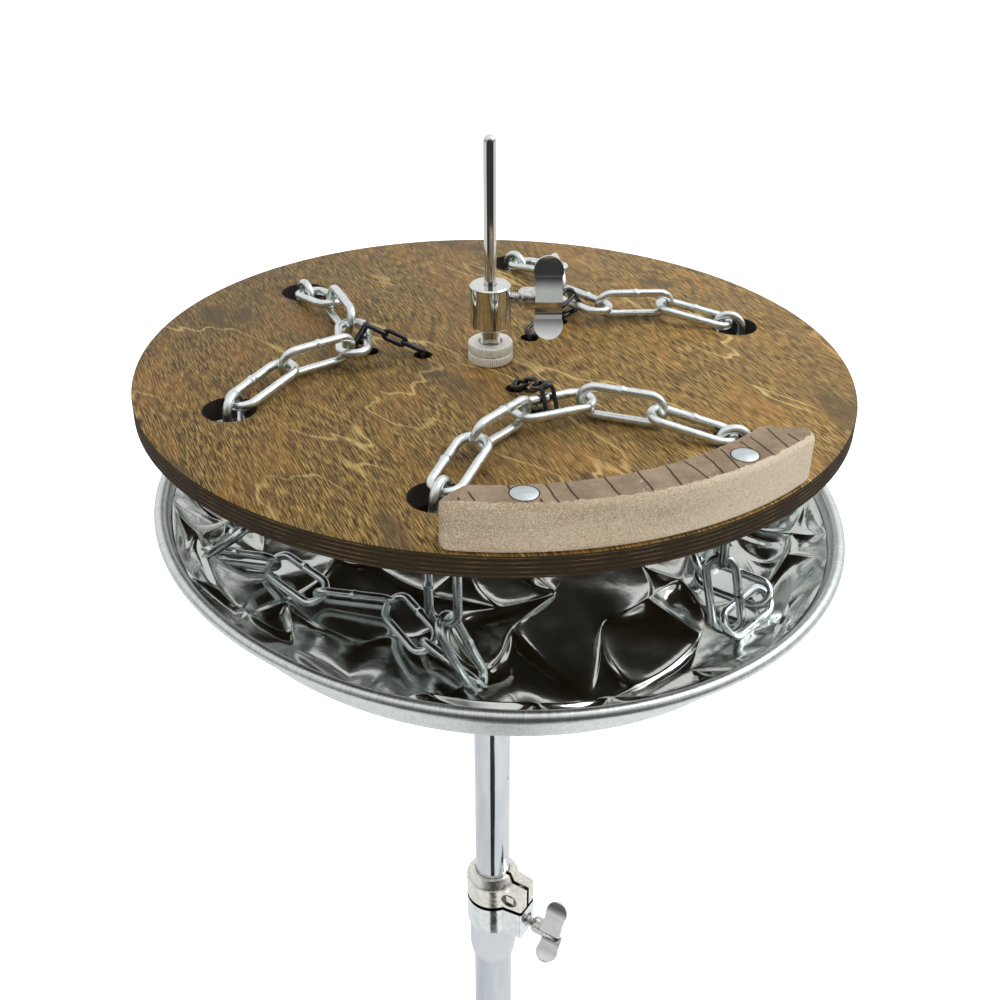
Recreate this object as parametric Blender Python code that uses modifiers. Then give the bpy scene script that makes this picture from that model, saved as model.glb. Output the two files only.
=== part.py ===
# Effects cymbal: a chain-laced plywood disc clutched to a pull rod, over a crumpled sheet metal pan
# on the top section of its stand. Metres, +Z up. The origin is the centre of the stand tube's lower end.

from math import asin, cos, pi, radians, sin, sqrt, tan

import bmesh
import bpy
from mathutils import Euler, Matrix, Vector, noise

# Clearances
seat_gap = 0.0003
running_gap = 0.0004
link_gap = 0.0006
link_play = 0.0013
link_drop = 0.0013

# Board
board_lift = 0.118
board_diameter = 0.3556
board_thickness = 0.011
board_edge_radius = 0.0012
board_offset = 0.0027
board_lean_right = 0.0210
board_lean_back = 0.0074
chain_hole_diameter = 0.0254
chain_hole_circle_radius = 0.1367
hole_angles = {"a": (141.7, 206.0), "b": (86.0, 21.0), "c": (-100.1, -36.8)}
tie_hole_diameter = 0.0095
tie_inner_radius = 0.0345
tie_outer_radius = 0.062
tie_angles = {"a": 173.3, "b": 54.0, "c": -69.4}

# Chain
link_wire = 0.0043
link_inner_length = 0.0345
link_inner_width = 0.0097
hole_link_offset = 0.0025
hole_tip_height = 0.0011
standing_link_roll = {"a3": 78, "a5": 75, "b3": 90, "b5": 108, "c3": 100, "c5": 90}
hanging_link_turn = {"a7": 20, "c7": 18}
lying_link_roll = {"a2": 0, "a4": 2, "a6": 0, "b2": 0, "b4": 0, "b6": 0, "c2": 0, "c4": 5, "c6": 0}
loop_weld_overlap = 0.0012
loop_floor_clearance = 0.0130

# Where each strand runs across the board, from its first hole to its second, from the rod's axis
strand_routes = {
    "a": ((-0.0870, 0.0548), (-0.0720, 0.0158), (-0.0726, -0.0072), (-0.1006, -0.0339)),
    "b": ((0.0360, 0.1110), (0.0385, 0.0697), (0.0556, 0.0515), (0.0971, 0.0565)),
    "c": ((-0.0058, -0.1038), (0.0160, -0.0746), (0.0368, -0.0630), (0.0758, -0.0716)),
}

# Where each hanging loop lies in the pan, between the two vertical links that carry it
loop_routes = {
    "a": ((-0.135, -0.050), (-0.106, -0.056), (-0.081, -0.078), (-0.048, -0.081), (-0.030, -0.110),
          (-0.008, -0.137)),
    "b": ((0.002, 0.104), (-0.012, 0.076), (-0.038, 0.100), (-0.060, 0.070), (-0.086, 0.092),
          (-0.108, 0.070)),
    "c": ((0.116, -0.088), (0.137, -0.061), (0.108, -0.043), (0.106, -0.008), (0.121, 0.022),
          (0.129, 0.050)),
}

# Tie chains
tie_wire = 0.0019
tie_link_pitch = 0.0110
tie_link_width = 0.0078
tie_twist = 35.0

# Wood block on the board's front right edge
block_height = 0.022
block_setback = 0.0003
block_width = {"left": 0.0168, "right": 0.0226}
block_outer_angle = {"left": -97.5, "right": -39.8}
block_inner_angle = {"left": -94.4, "right": -43.8}
block_edge_radius = 0.003
block_disc_diameter = 0.0114
block_disc_thickness = 0.0012
block_disc_sink = 0.0009
block_disc_inset = 0.0095
block_disc_angles = {"left": -86.3, "right": -53.2}

# Clutch
rod_diameter = 0.006
rod_tip_height = 0.633
rod_lower_end_height = 0.190
clutch_body_diameter = 0.0202
clutch_body_length = 0.0216
clutch_body_height = 0.0188
clutch_chamfer = 0.0008
sleeve_diameter = 0.0096
sleeve_lower_length = 0.030
nut_diameter = 0.0224
nut_height = 0.0048
nut_lean_gap = 0.0005
nut_recess_diameter = 0.0124
nut_recess_depth = 0.0016
washer_diameter = 0.036
washer_thickness = 0.0015
lower_nut_diameter = 0.024
lower_nut_height = 0.010
wing_bolt_height = 0.0143
knurl_count = 24
knurl_depth = 0.0003

# Wing bolts
wing_shaft_diameter = 0.006
wing_hub_diameter = 0.011
wing_hub_length = 0.0190
wing_lobe_radius = 0.0073
wing_lobe_reach = 0.0138
wing_lobe_lead = 0.0042
wing_waist_angle = 24
wing_thickness = 0.0022
clutch_wing_shaft_length = 0.0105
clutch_wing_turn = 84.0
clamp_wing_shaft_length = 0.0200
clamp_wing_turn = 55.0

# Pan and its seat
pan_rim_radius = 0.1804
pan_depth = 0.0334
pan_floor_radius = 0.157
pan_corner_radius = 0.009
pan_sheet = 0.0010
pan_bead_diameter = 0.0064
pan_hole_diameter = 0.0200
pan_offset = 0.0036
pan_crumple = 0.0040
pan_crumple_size = 0.034
pan_crumple_start = (3.1, 1.7, 0.4)
pan_crumple_sharpness = 2.2
pan_crumple_share = 0.65
pan_swell_size = 0.05
pan_swell_level = 2.0
pan_flat_radius = 0.040
pan_flat_blend = 0.015
pan_sectors = 36
pan_tilt = 3.54
pan_downhill_angle = -17.5
pan_pivot_height = 0.402
rocker_radius = 0.003
plate_diameter = 0.055
plate_thickness = 0.002
felt_diameter = 0.052
felt_thickness = 0.005
seat_hole_diameter = 0.014
seat_flange_diameter = 0.062
seat_flange_thickness = 0.004
seat_hub_diameter = 0.030
seat_hub_length = 0.028
tilter_radius = 0.0235
tilter_screw_diameter = 0.006
tilter_knob_diameter = 0.013
tilter_knob_height = 0.007
tilter_knob_drop = 0.010
tilter_pad_diameter = 0.008
tilter_pad_thickness = 0.002

# Stand tubes
upper_tube_diameter = 0.0222
lower_tube_diameter = 0.0254
tube_wall = 0.0012
upper_tube_lower_end = 0.012
guide_flange = 0.002
guide_length = 0.016
guide_bore = 0.0068
ferrule_diameter = 0.0306
ferrule_height = 0.0333
ferrule_taper_height = 0.008

# Clamp and memory collar
clamp_bottom_height = 0.1095
clamp_height = 0.0219
casting_radius = 0.0170
ear_reach = 0.0270
ear_half_width = 0.0100
ear_angle = -32.0
clamp_socket_depth = 0.0065
clamp_bolt_drop = 0.0115
collar_bottom_height = 0.1340
collar_height = 0.0150
collar_cone_height = 0.0060
collar_cone_radius = 0.0135
collar_slot = 0.0026
key_bolt_reach = 0.0185
key_bolt_diameter = 0.005
key_recess_diameter = 0.0107
key_recess_depth = 0.0045
key_head_width = 0.0055
casting_edge_radius = 0.0008

# Return spring in the upper tube
spring_collar_diameter = 0.016
spring_collar_height = 0.008
spring_collar_top = 0.285
spring_length = 0.055
spring_diameter = 0.0135
spring_wire = 0.0014
spring_turns = 6
spring_seat_height = 0.006

# Worked out from the sizes above
bar_offset = (link_inner_width + link_wire) / 2
arc_offset = (link_inner_length - link_inner_width) / 2
link_reach = arc_offset + bar_offset
hang_slack = (link_inner_width - link_wire) / 2 - link_gap
standing_span = 2 * (link_reach + link_play)
lying_span = 2 * arc_offset
standing_height = bar_offset + link_wire / 2 + seat_gap
lying_height = standing_height - link_drop
hole_link_slope = asin((lying_height - hole_tip_height) / (2 * link_reach))
sloping_span = lying_span * cos(hole_link_slope)
sloping_upper_height = lying_height - bar_offset * sin(hole_link_slope)
sloping_lower_height = hole_tip_height + bar_offset * sin(hole_link_slope)
rod_radius = rod_diameter / 2
board_radius = board_diameter / 2
board_top_height = pan_pivot_height + board_lift
block_disc_radius = board_radius - block_setback - block_disc_inset
upper_tube_radius = upper_tube_diameter / 2
lower_tube_radius = lower_tube_diameter / 2

board_frame_matrix = Matrix.Translation((0, 0, board_top_height)) @ Euler(
    (-board_lean_back, board_lean_right, 0)).to_matrix().to_4x4()
downhill = Vector((cos(radians(pan_downhill_angle)), sin(radians(pan_downhill_angle)), 0))
pan_axis = Vector((-downhill.y, downhill.x, 0))
pan_frame_matrix = Matrix.Translation((0, 0, pan_pivot_height)) @ Matrix.Rotation(
    radians(pan_tilt), 4, pan_axis)
plate_bottom = rocker_radius + seat_gap
felt_bottom = plate_bottom + plate_thickness + seat_gap
pan_bottom = felt_bottom + felt_thickness + seat_gap
pan_floor = pan_bottom + pan_sheet
pan_rim = pan_floor + pan_depth
seat_top = pan_pivot_height
seat_bottom = seat_top - seat_flange_thickness
tube_top = seat_bottom - guide_flange - seat_gap * 3


def clear_scene():
    for obj in list(bpy.data.objects):
        bpy.data.objects.remove(obj, do_unlink=True)


def new_collection(name):
    collection = bpy.data.collections.new(name)
    bpy.context.scene.collection.children.link(collection)
    return collection


def new_material(name, colour, roughness, metallic):
    material = bpy.data.materials.new(name)
    material.use_nodes = True
    shader = material.node_tree.nodes["Principled BSDF"]
    shader.inputs["Base Color"].default_value = (*colour, 1)
    shader.inputs["Roughness"].default_value = roughness
    shader.inputs["Metallic"].default_value = metallic
    return material


clear_scene()
parts = new_collection("effects_cymbal")
helpers = new_collection("cutters")
stained_wood = new_material("stained_wood", (0.16, 0.09, 0.035), 0.55, 0.0)
raw_wood = new_material("raw_wood", (0.42, 0.31, 0.23), 0.8, 0.0)
cap_metal = new_material("cap_metal", (0.62, 0.66, 0.68), 0.5, 0.6)
zinc = new_material("zinc", (0.68, 0.74, 0.74), 0.32, 1.0)
black_chain = new_material("black_chain", (0.012, 0.012, 0.014), 0.3, 0.2)
galvanised = new_material("galvanised", (0.52, 0.54, 0.54), 0.3, 1.0)
chrome = new_material("chrome", (0.8, 0.81, 0.82), 0.1, 1.0)
nickel = new_material("nickel", (0.62, 0.59, 0.54), 0.3, 1.0)
nylon = new_material("nylon", (0.75, 0.76, 0.78), 0.5, 0.0)
felt = new_material("felt", (0.08, 0.08, 0.08), 0.95, 0.0)
spring_steel = new_material("spring_steel", (0.4, 0.41, 0.43), 0.3, 1.0)


def place(obj, material=None, matrix=None, parent=None):
    """Puts an object in the part, or with no material among the cutters, at a place under its parent."""
    if material is None:
        helpers.objects.link(obj)
        obj.hide_render = True
        obj.display_type = "WIRE"
    else:
        parts.objects.link(obj)
        obj.data.materials.append(material)
    if parent is not None:
        obj.parent = parent
    obj.matrix_local = matrix if matrix is not None else Matrix.Identity(4)
    return obj


def new_frame(name, matrix):
    frame = bpy.data.objects.new(name, None)
    parts.objects.link(frame)
    frame.matrix_local = matrix
    return frame


def smooth(mesh):
    mesh.shade_smooth()
    mesh.set_sharp_from_angle(angle=radians(35))


def turned(name, profile, steps, material=None, closed=True, matrix=None, parent=None):
    """A profile of (radius, height) points, outer side first and downwards, turned about Z."""
    count = len(profile)
    edges = [(i, i + 1) for i in range(count - 1)]
    if closed:
        edges.append((count - 1, 0))
    mesh = bpy.data.meshes.new(name)
    mesh.from_pydata([(radius, 0, height) for radius, height in profile], edges, [])
    obj = place(bpy.data.objects.new(name, mesh), material, matrix, parent)
    turn = obj.modifiers.new("turn", "SCREW")
    turn.angle = 2 * pi
    turn.steps = steps
    turn.render_steps = steps
    turn.use_merge_vertices = True
    turn.merge_threshold = 0.00001
    turn.use_smooth_shade = True
    return obj


def ring(name, outer, inner, bottom, top, steps, material=None, chamfer=0.0, matrix=None, parent=None):
    """A straight ring about Z with chamfered outer edges."""
    if chamfer:
        outside = [(outer - chamfer, top), (outer, top - chamfer), (outer, bottom + chamfer),
                   (outer - chamfer, bottom)]
    else:
        outside = [(outer, top), (outer, bottom)]
    inside = [(inner, bottom), (inner, top)]
    return turned(name, outside + inside, steps, material, True, matrix, parent)


def cylinder_mesh(name, radius, bottom, top, steps):
    mesh = bpy.data.meshes.new(name)
    shape = bmesh.new()
    bmesh.ops.create_cone(shape, cap_ends=True, segments=steps, radius1=radius, radius2=radius,
                          depth=top - bottom, matrix=Matrix.Translation((0, 0, (top + bottom) / 2)))
    shape.to_mesh(mesh)
    shape.free()
    return mesh


def cylinder(name, radius, bottom, top, steps, material=None, matrix=None, parent=None):
    mesh = cylinder_mesh(name, radius, bottom, top, steps)
    smooth(mesh)
    return place(bpy.data.objects.new(name, mesh), material, matrix, parent)


def box(name, size, matrix=None, parent=None, material=None):
    mesh = bpy.data.meshes.new(name)
    shape = bmesh.new()
    bmesh.ops.create_cube(shape, size=1, matrix=Matrix.Diagonal((*size, 1)))
    shape.to_mesh(mesh)
    shape.free()
    return place(bpy.data.objects.new(name, mesh), material, matrix, parent)


def plate(name, outline, thickness, material=None, matrix=None, parent=None):
    """A flat outline in XY, filled and extruded to both sides, as a mesh."""
    curve = bpy.data.curves.new(name, "CURVE")
    curve.dimensions = "2D"
    curve.fill_mode = "BOTH"
    curve.extrude = thickness / 2
    spline = curve.splines.new("POLY")
    spline.points.add(len(outline) - 1)
    for point, (x, y) in zip(spline.points, outline):
        point.co = (x, y, 0, 1)
    spline.use_cyclic_u = True
    drawn = bpy.data.objects.new(name + "_outline", curve)
    helpers.objects.link(drawn)
    bpy.context.view_layer.update()
    mesh = bpy.data.meshes.new_from_object(drawn.evaluated_get(bpy.context.evaluated_depsgraph_get()))
    bpy.data.objects.remove(drawn)
    mesh.name = name
    welded = bmesh.new()
    welded.from_mesh(mesh)
    bmesh.ops.remove_doubles(welded, verts=welded.verts, dist=0.00001)
    bmesh.ops.recalc_face_normals(welded, faces=welded.faces)
    welded.to_mesh(mesh)
    welded.free()
    mesh.materials.clear()
    return place(bpy.data.objects.new(name, mesh), material, matrix, parent)


def combine(obj, tool, operation):
    change = obj.modifiers.new(operation.lower() + "_" + tool.name, "BOOLEAN")
    change.operation = operation
    change.object = tool
    change.solver = "EXACT"


def cut(obj, tool):
    combine(obj, tool, "DIFFERENCE")


def join(obj, tool):
    combine(obj, tool, "UNION")


def bevel(obj, width, segments=1, angle=40):
    rounding = obj.modifiers.new("bevel", "BEVEL")
    rounding.width = width
    rounding.segments = segments
    rounding.limit_method = "ANGLE"
    rounding.angle_limit = radians(angle)


def arc(centre_x, centre_y, radius, start, end, count):
    return [(centre_x + radius * cos(radians(start + (end - start) * i / (count - 1))),
             centre_y + radius * sin(radians(start + (end - start) * i / (count - 1))))
            for i in range(count)]


def polar(radius, angle, height=0.0):
    return Vector((radius * cos(radians(angle)), radius * sin(radians(angle)), height))


def axes_matrix(origin, long_axis, width_axis):
    """A frame with X along long_axis and Y as near to width_axis as it can be."""
    x_axis = long_axis.normalized()
    z_axis = x_axis.cross(width_axis).normalized()
    y_axis = z_axis.cross(x_axis)
    turn = Matrix((x_axis, y_axis, z_axis)).transposed().to_4x4()
    return Matrix.Translation(origin) @ turn


# Chain links

def link_outline(reach, half_width, points_per_end):
    """The centre line of an oval link in XY, with round ends."""
    ends = []
    for side in (1, -1):
        for i in range(points_per_end):
            angle = -pi / 2 + pi * i / (points_per_end - 1)
            ends.append((side * (reach + half_width * cos(angle)), side * half_width * sin(angle), 0.0))
    return ends


def link_curve(name, points, wire, sides_level):
    curve = bpy.data.curves.new(name, "CURVE")
    curve.dimensions = "3D"
    curve.bevel_depth = wire / 2
    curve.bevel_resolution = sides_level
    spline = curve.splines.new("POLY")
    spline.points.add(len(points) - 1)
    for point, place_of_point in zip(spline.points, points):
        point.co = (*place_of_point, 1)
    spline.use_cyclic_u = True
    return curve


def relax(points, lengths, fixed_ends=True, lowest=None, rounds=300):
    """Draws rough points along a chain to the exact lengths between them, with both ends held."""
    points = [point.copy() for point in points]
    first, last = points[0].copy(), points[-1].copy()
    for _ in range(rounds):
        points[-1] = last.copy()
        for i in range(len(points) - 2, -1, -1):
            points[i] = points[i + 1] + (points[i] - points[i + 1]).normalized() * lengths[i]
        points[0] = first.copy()
        for i in range(1, len(points)):
            points[i] = points[i - 1] + (points[i] - points[i - 1]).normalized() * lengths[i - 1]
            if lowest is not None and i < len(points) - 1:
                points[i].z = max(points[i].z, lowest(points[i]))
    return points


def hole_centre(strand, which):
    return polar(chain_hole_circle_radius, hole_angles[strand][which]) + Vector((board_offset, 0, 0))


def strand_arcs(strand):
    """Centres of the lying links' round ends, from the first hole to the second, in the board's frame."""
    inner = [Vector((x, y, 0)) for x, y in strand_routes[strand]]
    ends = []
    for which, neighbour in ((0, inner[0]), (1, inner[-1])):
        hole = hole_centre(strand, which)
        towards = (neighbour - hole).normalized()
        ends.append(hole + towards * (bar_offset * cos(hole_link_slope) + hole_link_offset))
    points = [ends[0]] + inner + [ends[1]]
    lengths = [sloping_span, standing_span, lying_span, standing_span, sloping_span]
    arcs = relax(points, lengths)
    heights = (sloping_lower_height, sloping_upper_height, lying_height)
    for point, height in zip(arcs, heights + heights[::-1]):
        point.z = height
    return arcs


def surface_link(name, start, end, roll, parent):
    along = (end - start).normalized()
    left = Vector((0, 0, 1)).cross(along).normalized()
    width_axis = left * cos(radians(roll)) + along.cross(left) * sin(radians(roll))
    curve = link_curve(name, link_outline(arc_offset, bar_offset, 7), link_wire, 1)
    place(bpy.data.objects.new(name, curve), zinc, axes_matrix((start + end) / 2, along, width_axis), parent)


def build_strand(strand, parent):
    arcs = strand_arcs(strand)
    for i in range(5):
        name = strand + str(i + 2)
        start, end = arcs[i].copy(), arcs[i + 1].copy()
        roll = lying_link_roll.get(name)
        if roll is None:
            roll = standing_link_roll[name]
            start.z = end.z = standing_height
        surface_link("link_" + name, start, end, roll, parent)
    down = Vector((0, 0, -1))
    hanging = []
    for number, end, before in ((1, arcs[0], arcs[1]), (7, arcs[5], arcs[4])):
        tip = end + (end - before).normalized() * bar_offset
        name = strand + str(number)
        turn = Matrix.Rotation(radians(hanging_link_turn.get(name, 0)), 3, "Z")
        outward = turn @ Vector((tip.x - end.x, tip.y - end.y, 0)).normalized()
        top = tip + down * hang_slack
        curve = link_curve("link_" + name, link_outline(arc_offset, bar_offset, 7), link_wire, 1)
        place(bpy.data.objects.new("link_" + name, curve), zinc,
              axes_matrix(top + down * arc_offset, down, outward), parent)
        hanging.append((top + down * 2 * arc_offset, outward))
    return arcs, hanging


# Hanging loops

def pan_floor_height(point):
    """Height of the pan's flat floor under a point, in the part's frame."""
    normal = pan_frame_matrix.to_3x3() @ Vector((0, 0, 1))
    origin = pan_frame_matrix @ Vector((0, 0, pan_floor))
    return origin.z - (normal.x * (point.x - origin.x) + normal.y * (point.y - origin.y)) / normal.z


def loop_clear_height(point):
    return pan_floor_height(point) + loop_floor_clearance


def loop_pivots(route, start, end):
    """Meeting points of a hanging loop's links, from one hole's link to the other's."""
    free_half = link_inner_length / 2 - link_gap / 2
    held_half = link_inner_length / 2 + loop_weld_overlap / 2
    down = Vector((0, 0, -1))
    drop = bar_offset - link_wire / 2 - link_gap / 2
    first = start + down * drop
    last = end + down * drop
    second = first + down * (free_half + held_half)
    second_last = last + down * (free_half + held_half)
    rough = [second]
    for x, y in route:
        point = Vector((x, y, 0))
        point.z = max(loop_clear_height(point), second.z - 2 * held_half)
        rough.append(point)
    rough.append(second_last)
    settled = relax(rough, [2 * held_half] * (len(rough) - 1), True, loop_clear_height)
    return [first] + settled + [last]


def carried_axes(pivots, first_width, last_width):
    """Width axes of a loop's links, turned a quarter from link to link, and to suit both its ends."""
    directions = [(b - a).normalized() for a, b in zip(pivots, pivots[1:])]
    axes = [first_width]
    for before, after in zip(directions, directions[1:]):
        axes.append(before.rotation_difference(after) @ axes[-1])
    last = directions[-1]
    wanted = (last_width - last * last_width.dot(last)).normalized()
    if wanted.dot(axes[-1]) < 0:
        wanted.negate()
    twist = axes[-1].angle(wanted)
    if axes[-1].cross(wanted).dot(last) < 0:
        twist = -twist
    rolled = []
    for i, (along, width_axis) in enumerate(zip(directions, axes)):
        quarter = pi / 2 if i % 2 == 0 else 0.0
        rolled.append(Matrix.Rotation(quarter + twist * i / (len(axes) - 1), 3, along) @ width_axis)
    return directions, rolled


def build_loop(name, route, start, end, first_width, last_width):
    pivots = loop_pivots(route, start, end)
    directions, width_axes = carried_axes(pivots, first_width, last_width)
    links = []
    for i, (along, rolled) in enumerate(zip(directions, width_axes)):
        middle = (pivots[i] + pivots[i + 1]) / 2
        if i == 0:
            middle = pivots[0] + along * (link_inner_length / 2 - link_gap / 2)
        if i == len(pivots) - 2:
            middle = pivots[-1] - along * (link_inner_length / 2 - link_gap / 2)
        curve = link_curve(name + "_wire", link_outline(arc_offset, bar_offset, 5), link_wire, 0)
        drawn = bpy.data.objects.new(name + "_link_" + str(i + 1), curve)
        helpers.objects.link(drawn)
        drawn.matrix_local = axes_matrix(middle, along, rolled)
        links.append(drawn)
    bpy.context.view_layer.update()
    depsgraph = bpy.context.evaluated_depsgraph_get()
    solids = []
    for drawn in links:
        mesh = bpy.data.meshes.new_from_object(drawn.evaluated_get(depsgraph))
        solids.append((drawn.name, mesh, drawn.matrix_world.copy()))
    for drawn in links:
        bpy.data.objects.remove(drawn)
    base = None
    for i, (link_name, mesh, matrix) in enumerate(solids):
        if i == 0:
            base = place(bpy.data.objects.new(name, mesh), zinc, matrix)
        else:
            join(base, place(bpy.data.objects.new(link_name, mesh), None, matrix))
    return base


# Board and what it carries

def build_board(parent):
    middle = Matrix.Translation((board_offset, 0, 0))
    mesh = cylinder_mesh("wood_board", board_radius, -board_thickness, 0, 64)
    smooth(mesh)
    board = place(bpy.data.objects.new("wood_board", mesh), stained_wood, middle, parent)
    bevel(board, board_edge_radius)
    drills = bmesh.new()
    spots = [(hole_centre(s, w), chain_hole_diameter / 2, 20) for s in hole_angles for w in (0, 1)]
    spots += [(polar(radius, tie_angles[s]), tie_hole_diameter / 2, 8)
              for s in tie_angles for radius in (tie_inner_radius, tie_outer_radius)]
    spots.append((Vector((0, 0, 0)), sleeve_diameter / 2 + 2 * link_gap, 16))
    for centre, radius, steps in spots:
        bmesh.ops.create_cone(drills, cap_ends=True, segments=steps, radius1=radius, radius2=radius,
                              depth=board_thickness * 3, matrix=Matrix.Translation(centre))
    drill_mesh = bpy.data.meshes.new("board_drills")
    drills.to_mesh(drill_mesh)
    drills.free()
    cut(board, place(bpy.data.objects.new("board_drills", drill_mesh), None, None, parent))


def build_block(parent):
    outer = board_radius - block_setback
    outline = arc(0, 0, outer, block_outer_angle["left"], block_outer_angle["right"], 12)
    steps = 11
    for i in range(steps + 1):
        share = i / steps
        width = block_width["right"] + (block_width["left"] - block_width["right"]) * share
        angle = block_inner_angle["right"] + (block_inner_angle["left"] - block_inner_angle["right"]) * share
        outline.append(tuple(polar(outer - width, angle)[:2]))
    matrix = Matrix.Translation((board_offset, 0, block_height / 2 + seat_gap))
    block = plate("wood_block", outline, block_height, raw_wood, matrix, parent)
    bevel(block, block_edge_radius, 2, 50)
    top = block_height + seat_gap
    for side, angle in block_disc_angles.items():
        spot = Matrix.Translation(polar(block_disc_radius, angle, top) + Vector((board_offset, 0, 0)))
        cut(block, cylinder("block_recess_" + side, block_disc_diameter / 2 + seat_gap,
                            -block_disc_sink - seat_gap, block_height, 16, None, spot, parent))
        cylinder("block_disc_" + side, block_disc_diameter / 2, -block_disc_sink,
                 block_disc_thickness - block_disc_sink, 16, cap_metal, spot, parent)


def tie_knots(strand, arcs):
    """Points along a tie: up through its first hole, over the middle link's nearer bar, and down again."""
    hole = polar(tie_inner_radius, tie_angles[strand])
    outer_hole = polar(tie_outer_radius, tie_angles[strand])
    along = (arcs[3] - arcs[2]).normalized()
    middle = (arcs[2] + arcs[3]) / 2
    inward = Vector((-along.y, along.x, 0))
    if inward.dot(hole - middle) < 0:
        inward.negate()
    low = Vector((0, 0, tie_wire))
    below = Vector((0, 0, -board_thickness))
    crest = middle + inward * bar_offset
    crest.z = lying_height + (link_wire + tie_link_width) / 2 + link_gap
    inside = middle + inward * link_gap
    inside.z = lying_height / 2
    return [hole + below, hole + low, crest, inside, outer_hole + low, outer_hole + below]


def build_tie(strand, arcs, parent):
    """Small twisted links from the first tie hole to the second, round the bar of the middle link."""
    name = "tie_" + strand
    knots = tie_knots(strand, arcs)
    half_width = (tie_link_width - tie_wire) / 2
    links = []
    for run, (start, end) in enumerate(zip(knots, knots[1:])):
        count = max(1, round((end - start).length / tie_link_pitch))
        step = (end - start) / count
        for i in range(count):
            twist = tie_twist * (i % 2) if run == 1 else 0.0
            links.append((start + step * i, step, twist))
    meshes = []
    for start, span, twist in links:
        reach = (span.length + tie_wire * 0.8) / 2 - half_width
        flat = span.cross(Vector((0, 0, 1)))
        if flat.length < span.length * 0.2:
            flat = Vector((0, 1, 0))
        flat.normalize()
        turned_axis = Matrix.Rotation(radians(twist), 3, span.normalized()) @ flat
        curve = link_curve(name + "_wire", link_outline(max(reach, 0.0), half_width, 3), tie_wire, 0)
        drawn = bpy.data.objects.new(name + "_link", curve)
        helpers.objects.link(drawn)
        drawn.matrix_local = axes_matrix(start + span / 2, span, turned_axis)
        bpy.context.view_layer.update()
        evaluated = drawn.evaluated_get(bpy.context.evaluated_depsgraph_get())
        meshes.append((bpy.data.meshes.new_from_object(evaluated), drawn.matrix_local.copy()))
        bpy.data.objects.remove(drawn)
    base = None
    for i, (mesh, matrix) in enumerate(meshes):
        if i == 0:
            base = place(bpy.data.objects.new(name, mesh), black_chain, matrix, parent)
        else:
            join(base, place(bpy.data.objects.new(name + "_link_" + str(i), mesh), None, matrix, parent))


# Clutch

def knurled_ring(name, outer, inner, bottom, top, material, recess=0.0):
    """A ring with fine straight teeth round its side."""
    teeth = []
    for i in range(knurl_count):
        for share, radius in ((0.0, outer), (0.5, outer - knurl_depth)):
            angle = 360 * (i + share) / knurl_count
            teeth.append((radius * cos(radians(angle)), radius * sin(radians(angle))))
    matrix = Matrix.Translation((0, 0, (bottom + top) / 2))
    body = plate(name, teeth, top - bottom, material, matrix)
    bore_profile = [(inner, top + seat_gap), (inner, bottom - seat_gap), (0, bottom - seat_gap),
                    (0, top + seat_gap)]
    if recess:
        bore_profile = [(recess, top + seat_gap), (recess, top - nut_recess_depth),
                        (inner, top - nut_recess_depth), (inner, bottom - seat_gap),
                        (0, bottom - seat_gap), (0, top + seat_gap)]
    local = [(radius, height - (bottom + top) / 2) for radius, height in bore_profile]
    bore_profile = [(0, local[-1][1])] + local[:-1]
    cut(body, turned(name + "_bore", bore_profile, 16, None, False, matrix))
    return body


def wing_bolt(name, shaft_length, matrix, material):
    """A wing bolt along +X with its tip at the origin, a round hub and a plate with two lobes."""
    along_x = Matrix.Rotation(pi / 2, 4, "Y")
    shaft = cylinder(name, wing_shaft_diameter / 2, 0, shaft_length + 0.001, 16, material,
                     matrix @ along_x)
    hub_matrix = matrix @ Matrix.Translation((shaft_length, 0, 0)) @ along_x
    join(shaft, cylinder(name + "_hub", wing_hub_diameter / 2, 0, wing_hub_length, 16, None, hub_matrix))
    hub_end = shaft_length + wing_hub_length
    lobe_centre = hub_end - wing_lobe_lead
    waist = wing_waist_angle
    outline = arc(lobe_centre, wing_lobe_reach, wing_lobe_radius, -waist, 180 + waist, 12)
    outline += arc(lobe_centre, -wing_lobe_reach, wing_lobe_radius, 180 - waist, 360 + waist, 12)
    join(shaft, plate(name + "_wings", outline, wing_thickness, None, matrix))
    return shaft


def build_clutch():
    top = board_top_height
    body_bottom = top + clutch_body_height
    body_top = body_bottom + clutch_body_length
    outer, sleeve = clutch_body_diameter / 2, sleeve_diameter / 2
    bore = rod_radius + seat_gap
    profile = [(outer - clutch_chamfer, body_top), (outer, body_top - clutch_chamfer),
               (outer, body_bottom + clutch_chamfer), (outer - clutch_chamfer, body_bottom),
               (sleeve, body_bottom), (sleeve, top - sleeve_lower_length),
               (bore, top - sleeve_lower_length), (bore, body_top)]
    body = turned("clutch_body", profile, 24, chrome)
    bolt_height = body_bottom + wing_bolt_height
    side_drill = Matrix.Translation((0, 0, bolt_height)) @ Matrix.Rotation(pi / 2, 4, "Y")
    cut(body, cylinder("clutch_drill", wing_shaft_diameter / 2 + seat_gap, 0, outer * 2, 16, None,
                       side_drill))
    tip = Matrix.Translation((rod_radius + seat_gap, 0, bolt_height))
    wing_bolt("clutch_wing_bolt", clutch_wing_shaft_length,
              tip @ Matrix.Rotation(radians(clutch_wing_turn), 4, "X"), chrome)
    inner = sleeve + seat_gap
    nut_bottom = top + nut_lean_gap
    lock_bottom = nut_bottom + nut_height + seat_gap
    knurled_ring("knurled_lock_nut", nut_diameter / 2, inner, nut_bottom, nut_bottom + nut_height, nickel)
    knurled_ring("knurled_nut", nut_diameter / 2, inner, lock_bottom, lock_bottom + nut_height, nickel,
                 nut_recess_diameter / 2)
    lower_top = top - board_thickness - seat_gap - washer_thickness - nut_lean_gap
    knurled_ring("lower_nut", lower_nut_diameter / 2, inner, lower_top - lower_nut_height, lower_top,
                 nickel)


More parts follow.
